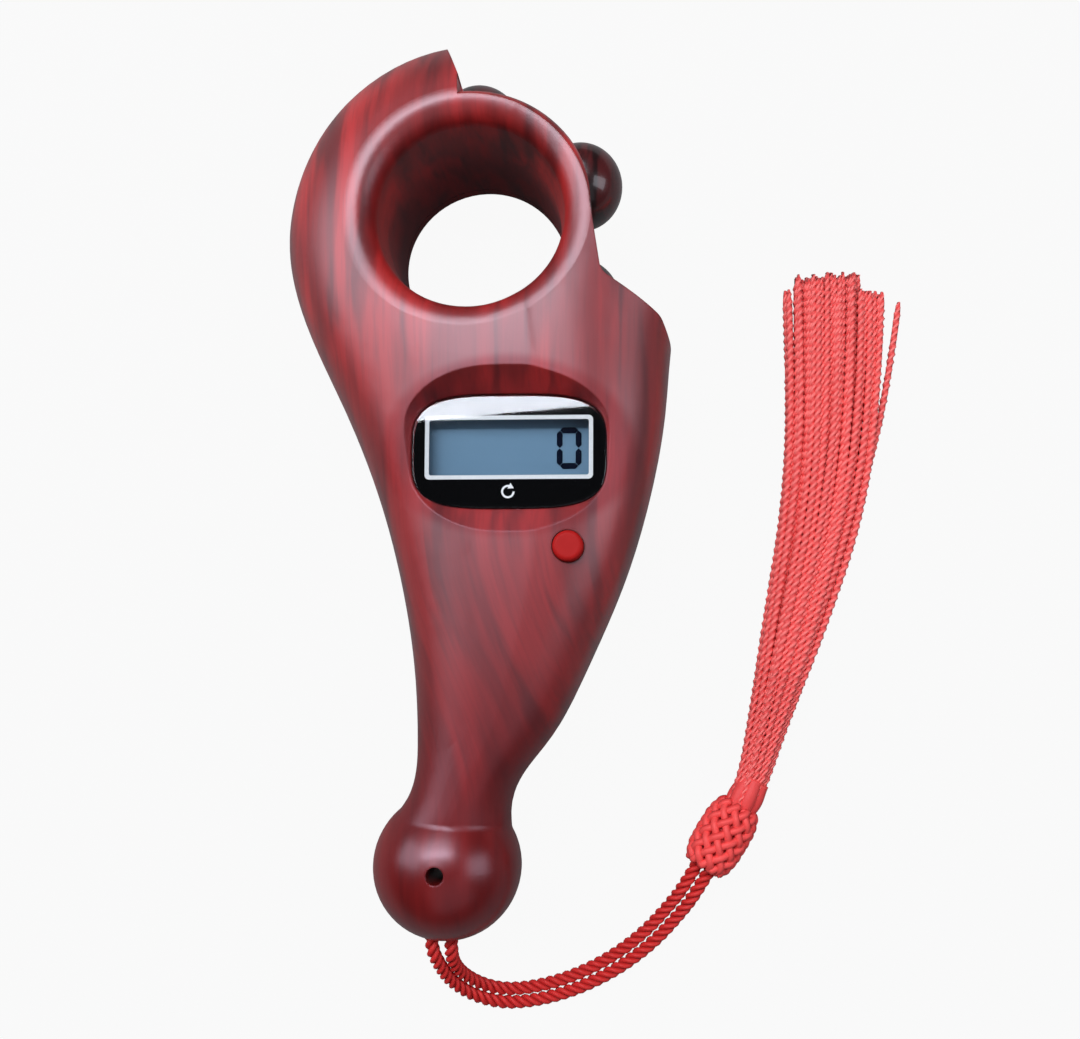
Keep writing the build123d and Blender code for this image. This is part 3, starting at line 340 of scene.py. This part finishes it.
def silk_yarn(name, deep, crown_highlight, plies, sheen):
    """Twisted rayon silk: a painted highlight on the crowns of the plies, painted shade of deep red in the
    grooves, filaments along it.
    """
    finish, tree = new_finish(name)
    along = add(tree, "UVMap", {"uv_map": "thread"}, {})[0]
    turn = add(tree, "SeparateXYZ", {}, {"Vector": along})
    # Filaments run along the yarn, drawn 0.1 mm wide so that they show
    fibre_place = add(tree, "Mapping", {}, {"Vector": along, "Scale": (14.0, 0.5, 1.0)})[0]
    fibres = add(tree, "TexNoise", {}, {"Vector": fibre_place, "Scale": 1.0, "Detail": 2.0})[0]
    # Painted light: the colour turns to the highlight on the crowns of the plies and to the deep colour, as
    # painted shade, in the grooves; the bump follows the same pattern
    angle = add(tree, "Math", {"operation": "MULTIPLY"}, {0: turn["X"], 1: 2 * math.pi * plies})[0]
    wave = add(tree, "Math", {"operation": "COSINE"}, {0: angle})[0]
    crown = add(tree, "MapRange", {}, {"Value": wave, "From Min": -1.0, "From Max": 0.4})[0]
    lift = add(tree, "Math", {"operation": "MULTIPLY_ADD"}, {0: fibres, 1: 0.5, 2: crown})[0]
    share = add(tree, "MapRange", {}, {"Value": lift, "From Min": 0.1, "From Max": 1.3})[0]
    colour = add(tree, "Mix", BLEND, {0: share, 6: linear(deep), 7: linear(crown_highlight)})[2]
    bump = add(tree, "Bump", {}, {"Height": lift, "Strength": 0.4, "Distance": 0.08 * MM})[0]
    shader = add(
        tree,
        "BsdfPrincipled",
        {},
        {
            "Base Color": colour,
            "Roughness": 0.5,
            "IOR": 1.5,
            "Specular IOR Level": 0.25,
            "Normal": bump,
            "Sheen Weight": sheen,
            "Sheen Roughness": 0.35,
            "Sheen Tint": linear("ff8f8f"),
        },
    )[0]
    add(tree, "OutputMaterial", {}, {"Surface": shader})
    return finish


def clear_acrylic():
    """Moulded acrylic window: clear, with a hard gloss."""
    finish, tree = new_finish("clear_acrylic")
    shader = add(
        tree,
        "BsdfPrincipled",
        {},
        {
            "Base Color": linear("f6f8f8"),
            "Roughness": 0.02,
            "IOR": 1.49,
            "Transmission Weight": 1.0,
        },
    )[0]
    # Light reaches the display through the window, so shadow rays pass it
    clear = add(tree, "BsdfTransparent", {}, {"Color": linear("f2f4f4")})[0]
    path = add(tree, "LightPath", {}, {})
    through = add(
        tree, "Math", {"operation": "MAXIMUM"}, {0: path["Is Shadow Ray"], 1: path["Is Diffuse Ray"]}
    )[0]
    surface = add(tree, "MixShader", {}, {0: through, 1: shader, 2: clear})[0]
    add(tree, "OutputMaterial", {}, {"Surface": surface})
    return finish


def route_line(name, points):
    """Points along the smooth curve that a route's control points give, in metres."""
    data = bpy.data.curves.new(name, "CURVE")
    data.dimensions = "3D"
    data.resolution_u = CURVE_STEPS
    spline = data.splines.new("NURBS")
    spline.points.add(len(points) - 1)
    for control, point in zip(spline.points, points):
        control.co = (point[0] * MM, point[1] * MM, point[2] * MM, 1.0)
    spline.order_u = 3
    spline.use_endpoint_u = True
    holder = bpy.data.objects.new(name, data)
    bpy.context.scene.collection.objects.link(holder)
    bpy.context.view_layer.update()
    seen = holder.evaluated_get(bpy.context.evaluated_depsgraph_get())
    mesh = bpy.data.meshes.new_from_object(seen)
    line = [vertex.co.copy() for vertex in mesh.vertices]
    bpy.data.objects.remove(holder)
    bpy.data.meshes.remove(mesh)
    return line


def strand_route(side):
    """Control points of one strand beside the middle line, as in the part's source."""
    head_face = HEAD_CENTRE - AHEAD * HEAD_CUT
    middle = [Vector(point) for point in CORD_ROUTE]
    middle += [head_face - AHEAD * (HEAD_WIDTH / 2), head_face]
    points = []
    for index, point in enumerate(middle):
        before = middle[max(index - 1, 0)]
        after = middle[min(index + 1, len(middle) - 1)]
        along = Vector((after.x - before.x, after.y - before.y, 0.0)).normalized()
        half_gap = CORD_PITCH / 2
        if index < 2:
            along = Vector((0.0, -1.0, 0.0))
            half_gap = EXIT_HALF_GAP
        points.append(point + Vector((-along.y, along.x, 0.0)) * (side * half_gap))
    return points


def bight_route():
    """Control points of the loop round the post in the ball, as in the part's source."""
    top = BALL.y + BIGHT_TOP
    return [
        (EXIT.x - EXIT_HALF_GAP, EXIT.y, 0.0),
        (EXIT.x - EXIT_HALF_GAP, EXIT.y + EXIT_RUN, 0.0),
        (BALL.x - BIGHT_HALF_WIDTH, BALL.y, 0.0),
        (BALL.x - BIGHT_HALF_WIDTH / 2, top, 0.0),
        (BALL.x + BIGHT_HALF_WIDTH / 2, top, 0.0),
        (BALL.x + BIGHT_HALF_WIDTH, BALL.y, 0.0),
        (EXIT.x + EXIT_HALF_GAP, EXIT.y + EXIT_RUN, 0.0),
        (EXIT.x + EXIT_HALF_GAP, EXIT.y, 0.0),
    ]


def carried_frames(line):
    """For each point of a line: its place, two directions across it and its length so far, in metres."""
    frames = []
    across = UP
    length = 0.0
    for index, point in enumerate(line):
        before = line[max(index - 1, 0)]
        after = line[min(index + 1, len(line) - 1)]
        along = (after - before).normalized()
        across = (across - along * across.dot(along)).normalized()
        if index:
            length += (point - before).length
        frames.append((point, across, along.cross(across), length))
    return frames


def round_rings(line, radius, sides=8):
    """Rings of a round tube of one radius in mm along a line."""
    rings = []
    for point, across, beside, length in carried_frames(line):
        outline = []
        for side in range(sides):
            angle = 2 * math.pi * side / sides
            spoke = across * math.cos(angle) + beside * math.sin(angle)
            outline.append(point + spoke * (radius * MM))
        rings.append((outline, length))
    return rings


def tube_mesh(name, tubes, finish):
    """One mesh of closed tubes; a tube is a list of rings, a ring its outline's points and its length."""
    places = []
    faces = []
    uvs = []
    rounded = []
    for rings in tubes:
        base = len(places)
        sides = len(rings[0][0])
        for outline, length in rings:
            places += outline
        for row in range(len(rings) - 1):
            nearer = base + row * sides
            further = nearer + sides
            start = rings[row][1] / MM
            end = rings[row + 1][1] / MM
            for side in range(sides):
                after = (side + 1) % sides
                faces.append((nearer + side, nearer + after, further + after, further + side))
                turn = side / sides
                next_turn = (side + 1) / sides
                uvs += [(turn, start), (next_turn, start), (next_turn, end), (turn, end)]
                rounded.append(True)
        last = base + (len(rings) - 1) * sides
        faces.append(tuple(base + side for side in reversed(range(sides))))
        faces.append(tuple(last + side for side in range(sides)))
        uvs += [(CUT_END_TURN, rings[0][1] / MM)] * sides
        uvs += [(CUT_END_TURN, rings[-1][1] / MM)] * sides
        rounded += [False, False]
    mesh = bpy.data.meshes.new(name)
    mesh.from_pydata(places, [], faces)
    layer = mesh.uv_layers.new(name="thread")
    layer.data.foreach_set("uv", [value for uv in uvs for value in uv])
    mesh.polygons.foreach_set("use_smooth", rounded)
    mesh.materials.append(finish)
    mesh.update()
    piece = bpy.data.objects.new(name, mesh)
    bpy.context.scene.collection.objects.link(piece)
    return piece


def twisted_cord(name, line, finish):
    """Cord of three plies laid round its line, each ply a round tube."""
    plies = 3
    lay_length = 3.15
    ply_r = 0.43
    lay_r = 0.37
    sides = 8
    tubes = []
    for ply in range(plies):
        rings = []
        for point, across, beside, length in carried_frames(line):
            turn = 2 * math.pi * (ply / plies + length / (lay_length * MM))
            outward = across * math.cos(turn) + beside * math.sin(turn)
            centre = point + outward * (lay_r * MM)
            outline = []
            for side in range(sides):
                angle = turn + 2 * math.pi * side / sides
                spoke = across * math.cos(angle) + beside * math.sin(angle)
                outline.append(centre + spoke * (ply_r * MM))
            rings.append((outline, length))
        tubes.append(rings)
    return tube_mesh(name, tubes, finish)


def skirt_frames():
    """Middle, width and thickness of the skirt from the head to the tips, in mm."""
    root = HEAD_CENTRE + AHEAD * HEAD_CUT
    centres = [root, root + AHEAD * BINDING_LENGTH]
    sizes = [(2 * BINDING_R, 2 * BINDING_R)] * 2
    for x, y, width, thick in SKIRT_STATIONS:
        centres.append(Vector((x, y, FLOOR_Z + thick / 2)))
        sizes.append((width, thick))
    return centres, sizes


def spread_places(count):
    """Places spread evenly over a unit disc, from its middle outwards."""
    golden = math.pi * (3 - math.sqrt(5))
    places = []
    for index in range(count):
        radius = math.sqrt((index + 0.5) / count)
        places.append((radius * math.cos(golden * index), radius * math.sin(golden * index)))
    return places


def yarn_rings(line):
    """Rings of a two-ply yarn: an oval that turns along the line, thin where gathered and at its cut tip."""
    sides = 6
    gathered = 0.62
    flatness = 0.64
    tip_share = 0.55
    tip_length = 1.4 * MM
    rings = []
    frames = carried_frames(line)
    total = frames[-1][3]
    for point, across, beside, length in frames:
        turn = 2 * math.pi * length / (YARN_PITCH * MM)
        full = gathered + (1 - gathered) * min(1.0, 3 * length / total)
        full *= tip_share + (1 - tip_share) * min(1.0, (total - length) / tip_length)
        first = across * math.cos(turn) + beside * math.sin(turn)
        second = beside * math.cos(turn) - across * math.sin(turn)
        outline = []
        for side in range(sides):
            angle = 2 * math.pi * side / sides
            spoke = first * math.cos(angle) + second * (math.sin(angle) * flatness)
            outline.append(point + spoke * (YARN_R * full * MM))
        rings.append((outline, length))
    return rings


def yarn_points(place_x, place_y, dice):
    """Control points of one yarn at a place in the skirt's section, in mm."""
    centres, sizes = skirt_frames()
    drift = dice.uniform(-YARN_DRIFT, YARN_DRIFT)
    reach_out = next(step for limit, step in TIP_STEPS if place_x < limit)
    cut = reach_out + dice.uniform(-YARN_CUT, YARN_CUT)
    points = []
    for index, (centre, (width, thick)) in enumerate(zip(centres, sizes)):
        before = centres[max(index - 1, 0)]
        after = centres[min(index + 1, len(centres) - 1)]
        along = Vector((after.x - before.x, after.y - before.y, 0.0)).normalized()
        aside = Vector((along.y, -along.x, 0.0))
        reach = (width / 2 - YARN_R) * (place_x + drift * index / len(centres))
        rise = (thick / 2 - YARN_R * YARN_SETTLED) * place_y
        point = centre + aside * reach + UP * rise
        if index == len(centres) - 1:
            point += along * cut
        elif index > 1:
            point += aside * dice.uniform(-YARN_WANDER, YARN_WANDER)
        points.append(point)
    return points


def tassel_skirt(finish):
    """Silk yarns gathered at the head, fanning out to uneven groups of cut tips, one yarn astray."""
    dice = random.Random(7)
    tubes = []
    for place_x, place_y in spread_places(YARN_COUNT):
        tubes.append(yarn_rings(route_line("yarn", yarn_points(place_x, place_y, dice))))
    stray = yarn_points(*STRAY_PLACE, dice)
    tubes.append(yarn_rings(route_line("yarn", stray[:-2] + [STRAY_LEAVES, STRAY_TIP])))
    return tube_mesh("tassel_skirt_yarns", tubes, finish)


def on_head(along, turn, radius):
    """Point at a place along the tassel's head, at an angle and a radius about its axis, in metres."""
    spoke = ASIDE * math.cos(turn) + UP * math.sin(turn)
    return (HEAD_CENTRE + AHEAD * along + spoke * radius) * MM


def head_radius(along):
    """Radius of the barrel-shaped head at a place along it, in mm."""
    fullness = 3.0
    return HEAD_WIDTH / 2 * (1 - abs(along / (HEAD_LENGTH / 2)) ** fullness) ** (1 / fullness)


def tassel_head(finish):
    """Braided knot: silk strands wound both ways round a barrel, over and under each other."""
    strands = 10
    steps = 44
    strand_r = 0.46
    winding = 0.42
    weave = 0.16
    core_steps = 12
    core_sides = 16
    tubes = []
    for direction in (-1, 1):
        for strand in range(strands):
            line = []
            for step in range(steps + 1):
                share = step / steps
                along = (2 * share - 1) * HEAD_CUT
                turn = 2 * math.pi * (strand / strands + direction * share * winding)
                crossing = math.cos(math.pi * (share * 2 * winding * strands + (direction > 0)))
                line.append(on_head(along, turn, head_radius(along) - strand_r + weave * crossing))
            tubes.append(round_rings(line, strand_r))
    # Core that fills the braid, flat at both ends
    core = []
    for step in range(core_steps + 1):
        along = (2 * step / core_steps - 1) * HEAD_CUT
        core_r = head_radius(along) - 2 * strand_r
        outline = []
        for side in range(core_sides):
            outline.append(on_head(along, -2 * math.pi * side / core_sides, core_r))
        core.append((outline, (along + HEAD_CUT) * MM))
    tubes.append(core)
    return tube_mesh("tassel_braided_head", tubes, finish)


def tassel_binding(finish):
    """Broad smooth silk loops that come out of the head and hold the skirt."""
    loops = 6
    loop_r = 0.9
    steps = 16
    lap = 1.0
    slant = 0.1
    pinch = 0.3
    tubes = []
    for loop in range(loops):
        line = []
        for step in range(steps + 1):
            share = step / steps
            along = HEAD_CUT - lap + share * (BINDING_LENGTH + 2 * lap)
            turn = 2 * math.pi * (loop / loops + share * slant)
            drawn_in = pinch * math.cos(math.pi * share) ** 2
            line.append(on_head(along, turn, BINDING_R - loop_r - drawn_in))
        tubes.append(round_rings(line, loop_r, 12))
    return tube_mesh("tassel_silk_loops", tubes, finish)


def edit_selected(piece, kind, chosen):
    """Open a piece in edit mode with the chosen vertices, edges or faces selected."""
    bpy.ops.object.select_all(action="DESELECT")
    bpy.context.view_layer.objects.active = piece
    piece.select_set(True)
    bpy.ops.object.mode_set(mode="EDIT")
    bpy.ops.mesh.select_mode(type=kind)
    bpy.ops.mesh.select_all(action="DESELECT")
    bpy.ops.object.mode_set(mode="OBJECT")
    for element in chosen(piece.data):
        element.select = True
    bpy.ops.object.mode_set(mode="EDIT")


def copied(piece, turn, place):
    """Copy of a piece with its own mesh, turned about Z and moved."""
    copy = piece.copy()
    copy.data = piece.data.copy()
    copy.data.transform(Matrix.Translation(place) @ Matrix.Rotation(turn, 4, "Z"))
    bpy.context.scene.collection.objects.link(copy)
    return copy


def joined(pieces, name, finish):
    """One piece out of several, with one finish."""
    bpy.ops.object.select_all(action="DESELECT")
    for piece in pieces:
        piece.select_set(True)
    bpy.context.view_layer.objects.active = pieces[0]
    bpy.ops.object.join()
    whole = bpy.context.object
    whole.name = name
    whole.data.name = name
    whole.data.materials.clear()
    whole.data.materials.append(finish)
    return whole


def segment_bar(length):
    """Bar of a display digit along X at the origin, with pointed ends."""
    bpy.ops.object.select_all(action="DESELECT")
    bpy.ops.mesh.primitive_cube_add(size=1.0)
    bar = bpy.context.object
    bar.scale = (length * MM, DIGIT_STROKE * MM, DIGIT_THICK * MM)
    bpy.ops.object.transform_apply(location=False, rotation=False, scale=True)

    def upright_edges(mesh):
        for edge in mesh.edges:
            first, second = (mesh.vertices[index].co for index in edge.vertices)
            if abs(first.z - second.z) > DIGIT_THICK * MM / 2:
                yield edge

    edit_selected(bar, "EDGE", upright_edges)
    bpy.ops.mesh.bevel(offset=DIGIT_STROKE * DIGIT_POINT * MM, segments=1, affect="EDGES")
    bpy.ops.object.mode_set(mode="OBJECT")
    return bar


def display_digit(finish):
    """Figure nought out of six bars on the display's glass."""
    across = DIGIT_WIDTH - DIGIT_STROKE
    down = DIGIT_HEIGHT - DIGIT_STROKE
    level = DIGIT_CENTRE + UP * (DIGIT_THICK / 2)
    flat_bar = segment_bar(across - DIGIT_GAP)
    upright_bar = segment_bar(down / 2 - DIGIT_GAP)
    bars = []
    for side in (-1, 1):
        place = level + Vector((0.0, side * down / 2, 0.0))
        bars.append(copied(flat_bar, 0.0, place * MM))
        for half in (-1, 1):
            place = level + Vector((side * across / 2, half * down / 4, 0.0))
            bars.append(copied(upright_bar, math.pi / 2, place * MM))
    bpy.data.objects.remove(flat_bar)
    bpy.data.objects.remove(upright_bar)
    return joined(bars, "display_nought", finish)


def reset_sign(finish):
    """Arrow that runs round in a circle, printed behind the window."""
    bpy.ops.object.select_all(action="DESELECT")
    bpy.ops.mesh.primitive_torus_add(
        major_radius=SIGN_R * MM, minor_radius=SIGN_STROKE * MM, major_segments=48, minor_segments=8
    )
    ring = bpy.context.object

    def gap_corners(mesh):
        for vertex in mesh.vertices:
            if 0.0 < math.atan2(vertex.co.y, vertex.co.x) < SIGN_GAP:
                yield vertex

    edit_selected(ring, "VERT", gap_corners)
    bpy.ops.mesh.delete(type="VERT")
    bpy.ops.mesh.select_all(action="DESELECT")
    bpy.ops.mesh.select_non_manifold()
    bpy.ops.mesh.fill_holes(sides=0)
    bpy.ops.object.mode_set(mode="OBJECT")

    bpy.ops.object.select_all(action="DESELECT")
    bpy.ops.mesh.primitive_cone_add(
        vertices=3,
        radius1=SIGN_HEAD * MM,
        radius2=SIGN_HEAD * SIGN_HEAD_TAPER * MM,
        depth=2 * SIGN_STROKE * MM,
    )
    head = bpy.context.object
    edit_selected(head, "EDGE", lambda mesh: mesh.edges)
    bpy.ops.mesh.bevel(offset=SIGN_HEAD_EDGE * MM, segments=1, affect="EDGES")
    bpy.ops.object.mode_set(mode="OBJECT")
    point = Vector((math.cos(SIGN_GAP), math.sin(SIGN_GAP), 0.0)) * (SIGN_R * MM)
    head.data.transform(Matrix.Translation(point) @ Matrix.Rotation(SIGN_GAP - math.pi, 4, "Z"))
    sign = joined([ring, head], "reset_arrow_print", finish)
    thin = SIGN_THICK / (2 * SIGN_STROKE)
    sign.data.transform(Matrix.Translation(SIGN_CENTRE * MM) @ Matrix.Diagonal((1.0, 1.0, thin, 1.0)))
    return sign


def softbox(name, place, target, size, radiance, turn=0.0):
    """Rectangular lamp of a given brightness, facing a point."""
    data = bpy.data.lights.new(name, "AREA")
    data.shape = "RECTANGLE"
    data.size, data.size_y = size
    data.energy = radiance * math.pi * size[0] * size[1]
    data.color = linear("f1f5ff")[:3]
    holder = bpy.data.objects.new(name, data)
    holder.location = place
    facing = (Vector(target) - Vector(place)).to_track_quat("-Z", "Y").to_matrix()
    holder.rotation_euler = (Matrix.Rotation(turn, 3, "Z") @ facing).to_euler()
    bpy.context.scene.collection.objects.link(holder)


def photo_camera():
    """Camera at the photograph's angle."""
    data = bpy.data.cameras.new("camera")
    data.lens = CAMERA_LENS
    data.sensor_width = CAMERA_SENSOR
    data.sensor_fit = "HORIZONTAL"
    data.shift_x, data.shift_y = CAMERA_SHIFT
    data.clip_start = 5 * MM
    camera = bpy.data.objects.new("camera", data)
    camera.location = CAMERA_PLACE
    camera.rotation_euler = (-UP).rotation_difference(CAMERA_AXIS).to_euler()
    bpy.context.scene.collection.objects.link(camera)
    bpy.context.scene.camera = camera


def paper_floor():
    """Paper sheet: white to the camera with a faint shadow, dim in reflections."""
    bpy.ops.object.select_all(action="DESELECT")
    bpy.ops.mesh.primitive_plane_add(size=FLOOR_SIZE, location=(0.0, 0.0, (FLOOR_Z - FLOOR_GAP) * MM))
    floor = bpy.context.object
    floor.name = "floor"
    paper, tree = new_finish("white_paper")
    path = add(tree, "LightPath", {}, {})
    seen = add(
        tree, "Math", {"operation": "MAXIMUM"}, {0: path["Is Camera Ray"], 1: path["Is Transmission Ray"]}
    )[0]
    direct = add(tree, "Math", {"operation": "MULTIPLY"}, {0: seen, 1: FLOOR_WHITE})[0]
    mirrored = add(
        tree, "Math", {"operation": "MULTIPLY"}, {0: path["Is Glossy Ray"], 1: FLOOR_MIRRORED}
    )[0]
    share = add(tree, "Math", {"operation": "MAXIMUM"}, {0: direct, 1: mirrored})[0]
    matt = add(tree, "BsdfDiffuse", {}, {"Color": linear("6a6a6a")})[0]
    glow = add(tree, "Emission", {}, {"Color": linear("ffffff"), "Strength": 1.0})[0]
    surface = add(tree, "MixShader", {}, {0: share, 1: matt, 2: glow})[0]
    add(tree, "OutputMaterial", {}, {"Surface": surface})
    floor.data.materials.append(paper)


def lamps():
    """Softboxes round the object, and a window strip and a panel overhead."""
    for name, (place, size, radiance) in SOFTBOXES.items():
        softbox(name, place, STAGE_MIDDLE, size, radiance)
    for name, (place, size, radiance) in OVERHEAD.items():
        softbox(name, place, Vector(place) - UP, size, radiance, OVERHEAD_TURN)


def dim_room():
    """Dim room, white to the camera."""
    world = bpy.data.worlds.new("room")
    bpy.context.scene.world = world
    world.use_nodes = True
    tree = world.node_tree
    tree.nodes.clear()
    path = add(tree, "LightPath", {}, {})
    # Glass shows the white behind it, while what it mirrors inside stays dim
    short = add(tree, "Math", {"operation": "LESS_THAN"}, {0: path["Ray Depth"], 1: THROUGH_A_PANE})[0]
    behind = add(tree, "Math", {"operation": "MULTIPLY"}, {0: path["Is Transmission Ray"], 1: short})[0]
    seen = add(tree, "Math", {"operation": "MAXIMUM"}, {0: path["Is Camera Ray"], 1: behind})[0]
    room = add(tree, "Background", {}, {"Color": linear("dfe4ec"), "Strength": ROOM_LIGHT})[0]
    white = add(tree, "Background", {}, {"Color": linear("ffffff"), "Strength": 1.0})[0]
    surface = add(tree, "MixShader", {}, {0: seen, 1: room, 2: white})[0]
    add(tree, "OutputWorld", {}, {"Surface": surface})


def make_finishes():
    """Finish of every material slot in the record."""
    zinc = {"Roughness": 0.3, "Metallic": 1.0}
    foil = {"Roughness": 0.35, "Metallic": 1.0}
    nickel = {"Roughness": 0.25, "Metallic": 1.0}
    dull = {"Roughness": 0.4, "Specular IOR Level": 0.1}
    matt = {"Roughness": 0.5, "Specular IOR Level": 0.1}
    return {
        "printed_plastic": rosewood_film(),
        "wheel_plastic": mottled("dark_red_acetal", "3a0f10", "2c0a0b", 2.0, {"Roughness": 0.4}),
        "bead_plastic": lacquered_bead(),
        "screw_steel": mottled("zinc_plated_steel", "b8b8b4", "9c9c98", 0.4, zinc),
        "clear_lens": clear_acrylic(),
        "black_print": mottled("black_screen_ink", "060607", "09090b", 1.0, INK),
        "white_print": mottled("white_screen_ink", "f4f4f4", "ebebeb", 0.6, {"Roughness": 0.5}),
        "tape": mottled("black_foam_tape", "18181a", "202023", 0.3, {"Roughness": 0.9}),
        "lcd_glass": mottled("lcd_cell_glass", "6486a0", "6e90aa", 7.0, dull),
        "foil": mottled("brushed_reflector_foil", "b4bab9", "a2a8a8", 0.5, foil),
        "zebra_rubber": mottled("silicone_connector", "c9b8b4", "2a2a2c", 0.1, {"Roughness": 0.6}),
        "white_plastic": mottled("white_abs", "e6e4df", "dcdad4", 1.5, {"Roughness": 0.45}),
        "board_green": mottled("solder_mask_board", "1d5a34", "174c2b", 0.8, {"Roughness": 0.35}),
        "epoxy_black": mottled("black_epoxy", "101012", "19191b", 1.0, {"Roughness": 0.3}),
        "chip_ceramic": mottled("ceramic_chip", "8a7763", "79674f", 0.4, {"Roughness": 0.5}),
        "dome_rubber": mottled("silicone_rubber", "9a9a98", "8c8c8a", 0.8, {"Roughness": 0.6}),
        "red_plastic": mottled("red_abs", "b41d1b", "a61816", 1.2, matt, 0.01),
        "cell_steel": mottled("nickel_plated_steel", "c9c7c2", "b5b3ae", 0.6, nickel),
        "contact_metal": mottled("tinned_bronze", "c7b893", "b3a37e", 0.6, zinc),
        "red_silk": mottled("red_silk", "c8161d", "a80f16", 0.5, {"Roughness": 0.6}),
    }


def dress(finishes):
    """Give every CAD node the finish of its material slot."""
    for node in nodes.values():
        slot = node.data.materials[0].name
        node.data.materials.clear()
        node.data.materials.append(finishes[slot])


def silk_for(piece, node):
    """Let a silk piece ride on the housing in place of a plain solid."""
    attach(piece, "housing")
    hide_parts(node)


def soft_goods():
    """Cord and tassel in place of their plain solids."""
    # Each silk's first colour is painted shade for the grooves of its plies and its second a painted
    # highlight for their crowns; the floss has no plies, so it shows mostly the second, varied by its
    # filaments
    cord_silk = silk_yarn("twisted_silk_cord", "8a1214", "d8302d", 1, 0.06)
    head_silk = silk_yarn("braided_silk", "bc1d1f", "fa5450", 1, 0.1)
    loop_silk = silk_yarn("smooth_silk_floss", "c02423", "ea4b48", 0, 0.1)
    yarn_silk = silk_yarn("silk_tassel_yarn", "e4413f", "ff7a74", 2, 0.12)
    skirt = tassel_skirt(yarn_silk)
    head = tassel_head(head_silk)
    binding = tassel_binding(loop_silk)
    for piece, node in ((skirt, "tassel_skirt"), (head, "tassel_head"), (binding, "tassel_binding")):
        silk_for(piece, node)
    for side, name, length, riders in (
        (-1, "cord_strand_left", LEFT_STRAND_LENGTH, [head, binding]),
        (1, "cord_strand_right", RIGHT_STRAND_LENGTH, []),
    ):
        route = strand_route(side)
        line = route_line(name, route)
        strand = twisted_cord(name + "_rope", line, cord_silk)
        silk_for(strand, name)
    line = route_line("cord_bight", bight_route())
    bight = twisted_cord("cord_bight_rope", line, cord_silk)
    silk_for(bight, "cord_bight")


def prints(finishes):
    """Digit on the display and the sign behind the window."""
    navy = mottled("liquid_crystal_segment", "040a1c", "071026", 1.5, INK)
    digit = display_digit(navy)
    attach(digit, "housing")
    sign = reset_sign(finishes["white_print"])
    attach(sign, "housing")


finishes = make_finishes()
dress(finishes)
photo_camera()
soft_goods()
prints(finishes)
paper_floor()
lamps()
dim_room()
bpy.context.scene.view_settings.view_transform = "Standard"
